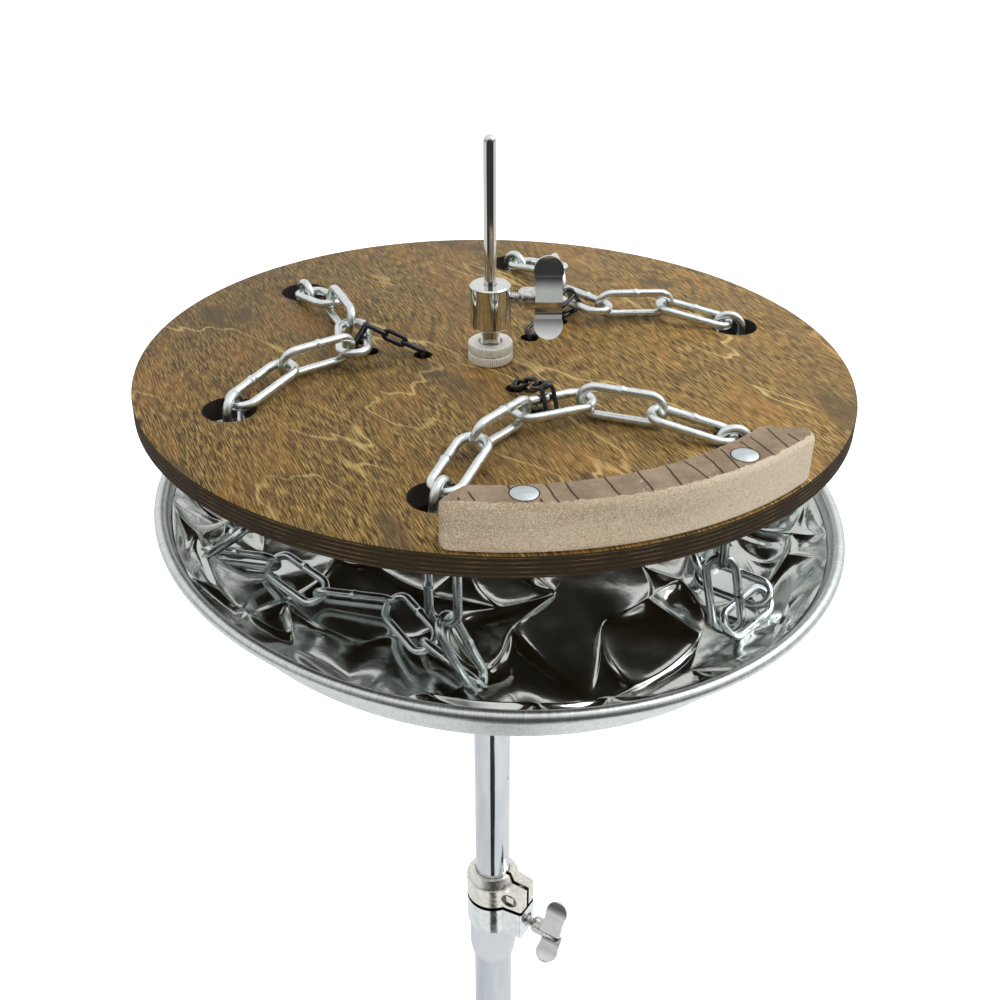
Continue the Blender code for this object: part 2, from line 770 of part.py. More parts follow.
def build_washer(parent):
    top = -board_thickness - seat_gap
    ring("lower_washer", washer_diameter / 2, sleeve_diameter / 2 + link_gap, top - washer_thickness, top,
         24, chrome, 0, None, parent)


# Pull rod and its spring

def build_rod():
    shoulder = rod_tip_height - rod_radius
    dome = [(rod_radius * sin(radians(a)), shoulder + rod_radius * cos(radians(a)))
            for a in (0, 22.5, 45, 67.5, 90)]
    turned("pull_rod", dome + [(rod_radius, rod_lower_end_height), (0, rod_lower_end_height)], 16, chrome,
           False)
    ring("rod_collar", spring_collar_diameter / 2, rod_radius + seat_gap,
         spring_collar_top - spring_collar_height, spring_collar_top, 20, nickel)
    spring_top = spring_collar_top - spring_collar_height - seat_gap - spring_wire / 2
    spring_bottom = spring_top - spring_length
    radius = (spring_diameter - spring_wire) / 2
    per_turn = 7
    count = spring_turns * per_turn
    points = []
    for i in range(count + 1):
        angle = 2 * pi * i / per_turn
        points.append((radius * cos(angle), radius * sin(angle),
                       spring_bottom + (spring_top - spring_bottom) * i / count))
    curve = link_curve("return_spring", points, spring_wire, 1)
    curve.splines[0].use_cyclic_u = False
    curve.use_fill_caps = True
    place(bpy.data.objects.new("return_spring", curve), spring_steel)
    seat_top_height = spring_bottom - spring_wire / 2 - seat_gap
    ring("spring_seat", upper_tube_radius - tube_wall - seat_gap, rod_radius + running_gap,
         seat_top_height - spring_seat_height, seat_top_height, 20, nylon)


# Pan and seat

def crumple(x, y):
    """Height of the dents in the pan's floor, in metres, from ridges between cells."""
    spot = Vector((x, y, 0)) / pan_crumple_size + Vector(pan_crumple_start)
    distances, _ = noise.voronoi(spot)
    ridge = 1.0 - min(1.0, (distances[1] - distances[0]) * pan_crumple_sharpness)
    swell = 0.5 + 0.5 * noise.noise(Vector((x / pan_swell_size, y / pan_swell_size, pan_swell_level)))
    return pan_crumple * (pan_crumple_share * ridge + (1 - pan_crumple_share) * swell)


def pan_profile():
    """The pan's middle surface from its centre hole, over the floor and up the wall, to the rolled rim."""
    half = pan_sheet / 2
    bead = pan_bead_diameter / 2 - half
    bead_radius = pan_rim_radius - pan_bead_diameter / 2
    bead_height = pan_rim - pan_bead_diameter / 2
    floor_height = pan_floor - half
    wall_top_radius = bead_radius - bead
    rise = bead_height - floor_height
    lean = wall_top_radius - pan_floor_radius
    points = [(pan_hole_diameter / 2, floor_height)]
    for share in (0.24, 0.40, 0.56, 0.71, 0.85):
        points.append((pan_floor_radius * share, floor_height))
    corner = pan_corner_radius
    wall_angle = asin(rise / sqrt(rise * rise + lean * lean))
    tangent = corner * tan(wall_angle / 2)
    for i in range(3):
        turn = wall_angle * i / 2
        points.append((pan_floor_radius - tangent + corner * sin(turn), floor_height + corner * (1 - cos(turn))))
    points.append((pan_floor_radius + lean * 0.65, floor_height + rise * 0.65))
    for angle in (180, 120, 60, 0, -60, -110):
        points.append((bead_radius + bead * cos(radians(angle)), bead_height + bead * sin(radians(angle))))
    return points


def build_pan(parent):
    mesh = bpy.data.meshes.new("pan")
    shape = bmesh.new()
    rows = []
    profile = pan_profile()
    for radius, height in profile:
        row = []
        for i in range(pan_sectors):
            angle = 2 * pi * i / pan_sectors
            x, y = radius * cos(angle), radius * sin(angle)
            fade = min(1.0, max(0.0, (radius - pan_flat_radius) / pan_flat_blend))
            fade *= min(1.0, max(0.0, (pan_floor + pan_depth * 0.55 - height) / (pan_depth * 0.4)))
            row.append(shape.verts.new((x, y, height + fade * crumple(x, y))))
        rows.append(row)
    for lower, upper in zip(rows, rows[1:]):
        for i in range(pan_sectors):
            j = (i + 1) % pan_sectors
            shape.faces.new((lower[i], lower[j], upper[j], upper[i]))
    bmesh.ops.recalc_face_normals(shape, faces=shape.faces)
    shape.to_mesh(mesh)
    shape.free()
    smooth(mesh)
    pan = place(bpy.data.objects.new("pan", mesh), galvanised, Matrix.Translation((pan_offset, 0, 0)), parent)
    shell = pan.modifiers.new("sheet", "SOLIDIFY")
    shell.thickness = pan_sheet
    shell.offset = 0
    shell.use_even_offset = False


def build_seat(pan_frame):
    hole = seat_hole_diameter / 2
    ring("tilt_plate", plate_diameter / 2, hole, plate_bottom, plate_bottom + plate_thickness, 28, chrome, 0,
         None, pan_frame)
    ring("seat_felt", felt_diameter / 2, hole, felt_bottom, felt_bottom + felt_thickness, 28, felt, 0,
         None, pan_frame)
    bore = guide_bore / 2 + seat_gap
    socket = upper_tube_radius + seat_gap
    hub_bottom = seat_bottom - seat_hub_length
    profile = [(seat_flange_diameter / 2, seat_top), (seat_flange_diameter / 2, seat_bottom),
               (seat_hub_diameter / 2, seat_bottom), (seat_hub_diameter / 2, hub_bottom),
               (socket, hub_bottom), (socket, seat_bottom - seat_gap), (bore, seat_bottom - seat_gap),
               (bore, seat_top)]
    cup = turned("seat_cup", profile, 24, nickel)
    along = Matrix.Rotation(radians(pan_downhill_angle), 4, "Z")
    rocker_matrix = Matrix.Translation((0, 0, seat_top)) @ along @ Matrix.Rotation(pi / 2, 4, "X")
    rocker = cylinder("rocker_bar", rocker_radius, -0.022, 0.022, 16, None, rocker_matrix)
    join(cup, rocker)
    cut(cup, cylinder("rod_passage", bore + link_gap, seat_bottom - seat_flange_thickness, seat_top + 0.02, 20))
    screw_place = Matrix.Translation(-downhill * tilter_radius)
    screw_radius = tilter_screw_diameter / 2
    cut(cup, cylinder("tilter_drill", screw_radius + seat_gap, seat_bottom - 0.01, seat_top + 0.01, 16, None,
                      screw_place))
    tilt = radians(pan_tilt)
    underside = seat_top + plate_bottom / cos(tilt) + tilter_radius * tan(tilt)
    pad_top = underside - seat_gap - tilter_pad_diameter / 2 * tan(tilt)
    pad_bottom = pad_top - tilter_pad_thickness
    cylinder("tilter_pad", tilter_pad_diameter / 2, pad_bottom, pad_top, 16, nylon, screw_place)
    knob_top = seat_bottom - tilter_knob_drop
    knob = cylinder("tilter_screw", tilter_knob_diameter / 2, knob_top - tilter_knob_height, knob_top, 20,
                    nickel, screw_place)
    join(knob, cylinder("tilter_stem", screw_radius, knob_top - 0.001, pad_bottom - seat_gap, 16, None,
                        screw_place))
    inner = upper_tube_radius - tube_wall - seat_gap
    guide = [(upper_tube_radius, tube_top + guide_flange + seat_gap), (upper_tube_radius, tube_top + seat_gap),
             (inner, tube_top + seat_gap), (inner, tube_top - guide_length),
             (guide_bore / 2, tube_top - guide_length), (guide_bore / 2, tube_top + guide_flange + seat_gap)]
    turned("rod_guide", guide, 20, nylon)


# Stand

def casting_outline():
    """Round body with an ear that points along +X."""
    meet = ear_meet_angle()
    outline = arc(0, 0, casting_radius, meet, 360 - meet, 12)
    tip = ear_half_width * 0.85
    outline += [(ear_reach, -tip), (ear_reach, tip)]
    return outline


def ear_meet_angle():
    return asin(ear_half_width / casting_radius) * 180 / pi


def build_clamp():
    ear_turn = Matrix.Rotation(radians(ear_angle), 4, "Z")
    middle = clamp_bottom_height + clamp_height / 2
    clamp = plate("height_clamp", casting_outline(), clamp_height, chrome,
                  Matrix.Translation((0, 0, middle)) @ ear_turn)
    bevel(clamp, casting_edge_radius, 1, 50)
    top = clamp_bottom_height + clamp_height
    shelf = clamp_bottom_height + clamp_socket_depth
    slide = upper_tube_radius + running_gap
    socket = lower_tube_radius + seat_gap
    bore = [(0, top + 0.001), (slide, top + 0.001), (slide, shelf), (socket, shelf),
            (socket, clamp_bottom_height - 0.001), (0, clamp_bottom_height - 0.001)]
    cut(clamp, turned("clamp_bore", bore, 28, None, False))
    bolt_height = top - clamp_bolt_drop
    bolt_line = Matrix.Translation((0, 0, bolt_height)) @ ear_turn
    cut(clamp, cylinder("clamp_drill", wing_shaft_diameter / 2 + seat_gap, slide * 0.9, ear_reach + 0.01, 16,
                        None, bolt_line @ Matrix.Rotation(pi / 2, 4, "Y")))
    tip = bolt_line @ Matrix.Translation((upper_tube_radius + seat_gap, 0, 0))
    wing_bolt("clamp_wing_bolt", clamp_wing_shaft_length,
              tip @ Matrix.Rotation(radians(-clamp_wing_turn), 4, "X"), chrome)


def build_collar():
    ear_turn = Matrix.Rotation(radians(ear_angle), 4, "Z")
    base = Matrix.Translation((0, 0, collar_bottom_height)) @ ear_turn
    collar = plate("memory_collar", casting_outline(), collar_height, nickel,
                   base @ Matrix.Translation((0, 0, collar_height / 2)))
    bevel(collar, casting_edge_radius, 1, 50)
    cone = [(0, collar_height + collar_cone_height), (collar_cone_radius, collar_height + collar_cone_height),
            (casting_radius - casting_edge_radius, collar_height - casting_edge_radius),
            (0, collar_height - casting_edge_radius)]
    join(collar, turned("collar_cone", cone, 24, None, False, base))
    grip = upper_tube_radius + seat_gap
    full = collar_height + collar_cone_height
    cut(collar, cylinder("collar_bore", grip, -0.01, full + 0.01, 24, None, base))
    slot_length = ear_reach + 0.01
    cut(collar, box("collar_slot", (slot_length, collar_slot, full * 2),
                    base @ Matrix.Translation((slot_length / 2, 0, full / 2))))
    bolt_line = base @ Matrix.Translation((key_bolt_reach, 0, collar_height / 2)) @ Matrix.Rotation(
        pi / 2, 4, "X")
    radius = key_bolt_diameter / 2
    side = ear_half_width
    cut(collar, cylinder("key_drill", radius + seat_gap, -side * 2, side * 2, 16, None, bolt_line))
    cut(collar, cylinder("key_recess", key_recess_diameter / 2, side - key_recess_depth - 0.001, side * 2, 20,
                         None, bolt_line))
    floor = side - key_recess_depth - 0.001 + seat_gap
    bolt = cylinder("memory_key_bolt", radius, -side + 0.001, floor + 0.001, 16, nickel, bolt_line)
    head_height = key_recess_depth * 0.8
    join(bolt, box("key_head", (key_head_width, key_head_width, head_height),
                   bolt_line @ Matrix.Translation((0, 0, floor + head_height / 2))))


def build_tubes():
    inner = upper_tube_radius - tube_wall
    ring("upper_tube", upper_tube_radius, inner, upper_tube_lower_end, tube_top, 28, chrome)
    lower_top = clamp_bottom_height + clamp_socket_depth - seat_gap
    ring("lower_tube", lower_tube_radius, lower_tube_radius - tube_wall, 0, lower_top, 28, chrome)
    grip = lower_tube_radius + seat_gap
    top = clamp_bottom_height - seat_gap
    bottom = top - ferrule_height
    outer = ferrule_diameter / 2
    profile = [(outer, top), (outer, bottom + ferrule_taper_height), (grip + 0.0008, bottom),
               (grip, bottom), (grip, top)]
    turned("tube_ferrule", profile, 28, nylon)


board_frame = new_frame("board_frame", board_frame_matrix)
pan_frame = new_frame("pan_frame", pan_frame_matrix)
build_board(board_frame)
build_block(board_frame)
build_washer(board_frame)
build_clutch()
build_rod()
build_pan(pan_frame)
build_seat(pan_frame)
build_clamp()
build_collar()
build_tubes()
hanging_ends = {}
for strand_name in strand_routes:
    arc_centres, ends = build_strand(strand_name, board_frame)
    build_tie(strand_name, arc_centres, board_frame)
    hanging_ends[strand_name] = [(board_frame_matrix @ point, outward) for point, outward in ends]
for loop_name, first_end, second_end in (("a", ("a", 1), ("c", 0)), ("b", ("b", 0), ("a", 0)),
                                         ("c", ("c", 1), ("b", 1))):
    loop_start, start_width = hanging_ends[first_end[0]][first_end[1]]
    loop_end, end_width = hanging_ends[second_end[0]][second_end[1]]
    build_loop("chain_loop_" + loop_name, loop_routes[loop_name], loop_start, loop_end, start_width,
               end_width)
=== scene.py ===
from math import asin, cos, hypot, pi, radians, sin, sqrt, tan
from random import Random

import bmesh
import bpy
import numpy as np
from mathutils import Euler, Matrix, Vector
from mathutils.geometry import delaunay_2d_cdt


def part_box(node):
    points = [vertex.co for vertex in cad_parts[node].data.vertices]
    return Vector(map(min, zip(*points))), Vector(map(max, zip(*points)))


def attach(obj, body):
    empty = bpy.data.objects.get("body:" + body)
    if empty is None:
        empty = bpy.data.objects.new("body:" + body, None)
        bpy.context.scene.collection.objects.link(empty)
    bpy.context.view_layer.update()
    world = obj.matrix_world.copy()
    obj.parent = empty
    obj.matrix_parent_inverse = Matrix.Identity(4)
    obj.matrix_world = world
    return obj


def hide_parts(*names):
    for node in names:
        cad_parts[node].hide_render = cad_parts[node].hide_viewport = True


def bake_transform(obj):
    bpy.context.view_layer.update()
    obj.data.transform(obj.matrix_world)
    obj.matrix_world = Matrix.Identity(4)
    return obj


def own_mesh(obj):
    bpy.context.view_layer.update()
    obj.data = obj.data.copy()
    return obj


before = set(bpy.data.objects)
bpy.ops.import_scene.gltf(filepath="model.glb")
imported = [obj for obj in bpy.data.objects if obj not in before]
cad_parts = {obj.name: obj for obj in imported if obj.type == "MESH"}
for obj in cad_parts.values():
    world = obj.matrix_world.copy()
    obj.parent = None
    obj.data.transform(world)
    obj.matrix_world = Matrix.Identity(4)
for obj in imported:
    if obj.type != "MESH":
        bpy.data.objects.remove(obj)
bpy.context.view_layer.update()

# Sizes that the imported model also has, in metres
gap = 0.0003
link_gap = 0.0006
board_top = 0.520
board_radius = 0.1778
board_thickness = 0.011
board_offset = 0.0027
chain_hole_radius = 0.0127
chain_hole_circle = 0.1367
chain_hole_angles = (141.7, 206.0, 86.0, 21.0, -100.1, -36.8)
tie_hole_radius = 0.00475
tie_circles = (0.0345, 0.062)
tie_angles = {"a": 173.3, "b": 54.0, "c": -69.4}
wire = 0.0043
inner_length = 0.0345
inner_width = 0.0097
bar_offset = (inner_width + wire) / 2
arc_offset = (inner_length - inner_width) / 2
rod_radius = 0.003
pan_pivot = 0.402
pan_tilt = 3.54
downhill_angle = -17.5
pan_offset = 0.0036
pan_rim_radius = 0.1804
pan_depth = 0.0334
pan_floor_radius = 0.157
pan_floor = 0.0119
pan_sheet = 0.0010

board_lean = (-0.0074, 0.0210, 0)
rod_tip = 0.633
rod_end = 0.190
clutch_seat = 0.0188
clutch_length = 0.0216
sleeve_drop = 0.030
clutch_wing_height = 0.5531
tube_radius = 0.0111
tube_bore = 0.0099
tube_end = 0.012
low_tube_radius = 0.0127
low_tube_bore = 0.0115
low_tube_top = 0.1157
clamp_bottom = 0.1095
clamp_top = 0.1314
clamp_bolt_height = 0.1199
collar_bottom = 0.134
collar_height = 0.015
casting_angle = -32.0

shift = Matrix.Translation


def spin(angle, axis):
    return Matrix.Rotation(radians(angle), 4, axis)


board_frame = shift((0, 0, board_top)) @ Euler(board_lean).to_matrix().to_4x4()
downhill = Vector((cos(radians(downhill_angle)), sin(radians(downhill_angle)), 0))
pan_axis = Vector((-downhill.y, downhill.x, 0))
pan_frame = shift((0, 0, pan_pivot)) @ Matrix.Rotation(radians(pan_tilt), 4, pan_axis)
down = Vector((0, 0, -1))


# Camera, backdrop and lights

camera_place = (0.00479, -0.57570, 0.79190)
camera_drop = 31.66
camera_lens = 45.23
floor_glow = 0.72


def add_object(name, data, matrix=None):
    obj = bpy.data.objects.new(name, data)
    bpy.context.scene.collection.objects.link(obj)
    if matrix is not None:
        obj.matrix_world = matrix
    return obj


def new_mesh(name, points, faces):
    mesh = bpy.data.meshes.new(name)
    mesh.from_pydata([tuple(point) for point in points], [], faces)
    return mesh


def aim(matrix_from, target):
    turn = (Vector(target) - Vector(matrix_from)).to_track_quat("-Z", "Y").to_matrix().to_4x4()
    return shift(matrix_from) @ turn


def area_light(name, place, target, width, height, power, mirrored=True):
    light = bpy.data.lights.new(name, "AREA")
    light.shape = "RECTANGLE"
    light.size = width
    light.size_y = height
    light.energy = power
    add_object(name, light, aim(place, target)).visible_glossy = mirrored


def set_camera():
    camera = bpy.data.cameras.new("camera")
    camera.lens = camera_lens
    camera.sensor_width = 36
    camera.clip_start = 0.01
    obj = add_object("camera", camera, shift(camera_place) @ spin(90 - camera_drop, "X"))
    bpy.context.scene.camera = obj


class Nodes:
    """Short calls for building a node tree."""

    def __init__(self, tree):
        self.tree = tree
        tree.nodes.clear()

    def add(self, kind, inputs=None, **settings):
        node = self.tree.nodes.new("ShaderNode" + kind)
        for key, value in settings.items():
            setattr(node, key, value)
        for key, value in (inputs or {}).items():
            if isinstance(value, bpy.types.NodeSocket):
                self.tree.links.new(value, node.inputs[key])
            else:
                node.inputs[key].default_value = value
        return node

    def value(self, kind, inputs, **settings):
        return self.add(kind, inputs, **settings).outputs[0]

    def math(self, operation, a, b=0.0):
        return self.value("Math", {0: a, 1: b}, operation=operation)

    def times(self, a, b):
        return self.math("MULTIPLY", a, b)

    def centred(self, value, size):
        """A value of 0 to 1 as one around 0."""
        return self.times(self.math("SUBTRACT", value, 0.5), size)

    def facing_up(self, kind):
        return self.split(self.add("NewGeometry").outputs[kind])[2]

    def from_axis(self, x, y):
        return self.math("SQRT", self.math("ADD", self.times(x, x), self.times(y, y)))

    def noise(self, vector, scale, detail=3.0, roughness=0.5, distortion=0.0):
        return self.value("TexNoise", {"Vector": vector, "Scale": scale, "Detail": detail,
                                       "Roughness": roughness, "Distortion": distortion})

    def stretched(self, vector, scale, *settings):
        return self.noise(self.mapped(vector, scale), 1.0, *settings)

    def cells(self, vector, scale):
        return self.value("TexVoronoi", {"Vector": vector, "Scale": scale}, feature="F1")

    def step(self, value, low, high, start=0.0, end=1.0):
        node = self.add("MapRange", {0: value, 1: low, 2: high, 3: start, 4: end})
        node.interpolation_type = "SMOOTHSTEP"
        return node.outputs[0]

    def mix(self, share, a, b, blend="MIX"):
        node = self.add("Mix", data_type="RGBA", blend_type=blend)
        for index, value in ((0, share), (6, a), (7, b)):
            if isinstance(value, bpy.types.NodeSocket):
                self.tree.links.new(value, node.inputs[index])
            elif index == 0:
                node.inputs[index].default_value = value
            else:
                node.inputs[index].default_value = (*value, 1)
        return node.outputs[2]

    def place(self, kind="Object"):
        return self.add("TexCoord").outputs[kind]

    def mapped(self, vector, scale=(1, 1, 1), turn=(0, 0, 0)):
        return self.value("Mapping", {"Vector": vector, "Scale": scale, "Rotation": turn})

    def split(self, vector):
        return self.add("SeparateXYZ", {0: vector}).outputs

    def bump(self, height, distance, strength=1.0, normal=None):
        inputs = {"Height": height, "Distance": distance, "Strength": strength}
        if normal is not None:
            inputs["Normal"] = normal
        return self.value("Bump", inputs)


def new_material(name, build):
    """A material with one Principled shader, whose inputs the build function returns."""
    material = bpy.data.materials.new(name)
    material.use_nodes = True
    nodes = Nodes(material.node_tree)
    shader = nodes.add("BsdfPrincipled", build(nodes))
    nodes.add("OutputMaterial", {0: shader.outputs[0]})
    return material


def set_world():
    world = bpy.data.worlds.new("studio")
    bpy.context.scene.world = world
    bpy.context.scene.view_settings.view_transform = "Standard"
    world.use_nodes = True
    nodes = Nodes(world.node_tree)
    camera_ray = nodes.add("LightPath").outputs["Is Camera Ray"]
    x, y, z = nodes.split(nodes.place("Generated"))
    right = nodes.step(x, 0.60, 0.80, 0.0, 1.0)
    left = nodes.step(x, -0.45, -0.70, 0.0, 0.85)
    behind = nodes.step(y, 0.05, 0.40, 0.0, 0.90)
    above = nodes.step(z, 0.30, 0.95, 0.0, 1.05)
    sides = nodes.times(nodes.math("MAXIMUM", left, right), nodes.step(z, 0.05, 0.45, 0.16, 1.0))
    soft = nodes.math("MAXIMUM", sides, behind)
    soft = nodes.math("MAXIMUM", nodes.math("MAXIMUM", soft, above), 0.05)
    strength = nodes.add("Mix", {0: camera_ray, 2: soft, 3: 1.0}).outputs[0]
    background = nodes.add("Background", {0: (1, 1, 1, 1), 1: strength})
    nodes.add("OutputWorld", {0: background.outputs[0]})


def add_floor():
    mesh = new_mesh("floor", [(-6, -6, 0), (6, -6, 0), (6, 8, 0), (-6, 8, 0)], [(0, 1, 2, 3)])
    material = bpy.data.materials.new("floor")
    material.use_nodes = True
    nodes = Nodes(material.node_tree)
    camera_ray = nodes.add("LightPath").outputs["Is Camera Ray"]
    pale = nodes.add("BsdfDiffuse", {0: (0.86, 0.87, 0.88, 1)})
    white = nodes.add("Emission", {0: (1, 1, 1, 1), 1: nodes.times(camera_ray, floor_glow)})
    seen = nodes.add("AddShader", {0: pale.outputs[0], 1: white.outputs[0]})
    nodes.add("OutputMaterial", {0: seen.outputs[0]})
    mesh.materials.append(material)
    floor = add_object("floor", mesh)


def add_dark_floor():
    """A dark card on the floor that only the metal's reflections see, as in a studio."""
    outline = [(-0.020, -0.10), (0.036, -0.10), (0.034, -0.16), (0.085, -0.26), (0.070, -0.30),
               (0.160, -0.45), (0.20, -0.60), (1.1, -0.50), (5.9, -1.4), (5.9, -5.9), (-5.9, -5.9),
               (-2.4, -1.4), (-0.16, -0.66), (-0.10, -0.45), (-0.070, -0.30)]
    mesh = new_mesh("dark_floor", [(x, y, 0.002) for x, y in outline], [tuple(range(len(outline)))])
    mesh.materials.append(new_material("dark_floor", plain((0.02, 0.02, 0.02), 0.9)))
    card = add_object("dark_floor", mesh)
    card.visible_camera = card.visible_diffuse = card.visible_shadow = False


# Materials

def board_face(n):
    """Stained plywood: short grain streaks, golden figure lines and dark smudges."""
    place = n.place()
    along = n.mapped(place, (1, 1, 1), (0, 0, radians(67)))
    streak = n.stretched(along, (110, 1800, 1), 2.0, 0.5)
    fleck = n.stretched(along, (120, 1550, 7), 1.0, 0.5)
    wide = n.stretched(along, (30, 200, 1), 3.0, 0.6)
    patches = n.noise(place, 9.0, 4.0, 0.6, 0.6)
    warm = n.stretched(along, (14, 34, 3), 4.0, 0.6, 0.5)
    smudge = n.step(n.stretched(along, (11, 24, 1), 3.0, 0.5, 0.8), 0.56, 0.70)
    slanted = n.mapped(place, (1, 1, 1), (0, 0, radians(48)))
    figure = n.stretched(slanted, (3.6, 13.0, 1), 4.0, 0.5, 0.2)
    rings = n.math("PINGPONG", n.times(figure, 7.0), 0.5)
    line = n.step(rings, 0.006, 0.050, 1.0, 0.0)
    kept = n.step(n.noise(place, 11.0, 2.0), 0.40, 0.56)
    gold = n.times(n.times(line, kept), n.step(streak, 0.32, 0.50, 0.3, 1.0))
    colour = n.mix(n.step(streak, 0.44, 0.57), (0.046, 0.027, 0.008), (0.270, 0.165, 0.044))
    colour = n.mix(n.step(warm, 0.46, 0.66, 0.0, 0.55), colour, (0.290, 0.135, 0.034))
    colour = n.mix(n.step(fleck, 0.54, 0.66, 0.0, 0.66), colour, (0.450, 0.310, 0.098))
    colour = n.mix(n.step(fleck, 0.44, 0.33, 0.0, 0.66), colour, (0.030, 0.017, 0.006))
    colour = n.mix(n.step(wide, 0.48, 0.32, 0.0, 0.60), colour, (0.055, 0.034, 0.014))
    colour = n.mix(n.step(patches, 0.42, 0.68, 0.0, 0.30), colour, (0.110, 0.070, 0.028))
    colour = n.mix(n.times(smudge, 0.68), colour, (0.066, 0.045, 0.022))
    colour = n.mix(n.times(gold, 0.68), colour, (0.56, 0.41, 0.16))
    # Painted light: the stain is multiplied by 0.92 to 1.28 from left to right, standing in for the light
    # that falls brighter on the board's right side.
    colour = n.mix(1.0, colour, n.step(n.split(place)[0], -0.13, 0.15, 0.92, 1.28), "MULTIPLY")
    normal = n.bump(streak, 0.0002, 0.5)
    # Painted shade: the board's underside is painted nearly black, which also gives the dark reflections of
    # it in the pan.
    shaded_underside = n.step(n.facing_up("Normal"), -0.9, -0.5, 0.16, 1.0)
    colour = n.mix(shaded_underside, (0.012, 0.008, 0.004), colour)
    return {"Base Color": colour, "Roughness": 0.55, "Normal": normal, "Specular IOR Level": 0.2}


def ply_edge(n):
    """The board's side: thin dark veneers with a few golden lines."""
    place = n.place()
    x, y, z = n.split(place)
    angle = n.math("ARCTAN2", y, x)
    around = n.value("CombineXYZ", {0: n.times(angle, 0.18), 2: z})
    ragged = n.stretched(around, (260, 1, 900), 3.0, 0.7)
    wobble = n.centred(ragged, 0.0007)
    level = n.times(n.math("ADD", z, wobble), 5.2 / board_thickness)
    layer = n.math("PINGPONG", level, 0.5)
    golden = n.times(n.step(layer, 0.445, 0.49), n.step(n.noise(around, 60.0, 3.0), 0.40, 0.62))
    black = n.step(layer, 0.0, 0.14, 1.0, 0.0)
    colour = n.mix(ragged, (0.012, 0.008, 0.004), (0.050, 0.034, 0.016))
    colour = n.mix(golden, colour, (0.24, 0.155, 0.065))
    colour = n.mix(n.times(black, 0.8), colour, (0.006, 0.005, 0.004))
    return {"Base Color": colour, "Roughness": 0.8, "Normal": n.bump(layer, 0.0004, 0.8),
            "Specular IOR Level": 0.2}


# Painted shade: a near-black, faintly brown colour for the walls of the drilled holes and the ring around
# each cap, where shade falls.
def recess_shade(n):
    return {"Base Color": n.mix(n.noise(n.place(), 500.0), (0.004, 0.003, 0.003), (0.035, 0.022, 0.012)),
            "Roughness": 0.8}


kerfs = ((-83.4, 1.4, -1, 1), (-80.6, 1.1, -1, 1), (-74.7, 0.4, -1, 1), (-69.6, -0.2, -1, 1),
         (-65.0, -0.8, -1, 1), (-61.8, 0.3, -1, 1), (-58.1, -1.1, -1, 1), (-55.0, -1.8, -1, 1),
         (-48.6, -1.7, -1, 1), (-44.5, -2.8, -1, 0.7), (-88.6, 1.6, -1, -0.15), (-85.9, 0.5, -1, -0.4),
         (-50.8, -0.8, -1, -0.3), (-42.8, -1.7, 0, 1), (-94.7, 2.5, 0, 1), (-95.6, 1.2, 0.5, 1),
         (-86.8, 0.6, 0.6, 1), (-84.8, 0.6, 0.5, 1))


def kerf_mask(n, x, y, wobble):
    """Saw kerfs: (angle at the inner edge, lean to the outer edge, where it starts, where it ends)."""
    radius = n.from_axis(x, y)
    across = n.times(n.math("SUBTRACT", radius, 0.1685), 1 / 0.009)
    turn = n.math("ADD", n.math("ARCTAN2", y, x), wobble)
    mask = None
    for angle, lean, start, end in kerfs:
        middle = n.math("ADD", n.times(across, radians(lean / 2)), radians(angle + lean / 2))
        away = n.math("ABSOLUTE", n.math("SUBTRACT", turn, middle))
        line = n.step(away, 0.0012, 0.0034, 1.0, 0.0)
        line = n.times(line, n.step(across, start - 0.15, start))
        line = n.times(line, n.step(across, end, end + 0.1, 1.0, 0.0))
        mask = line if mask is None else n.math("MAXIMUM", mask, line)
    return mask


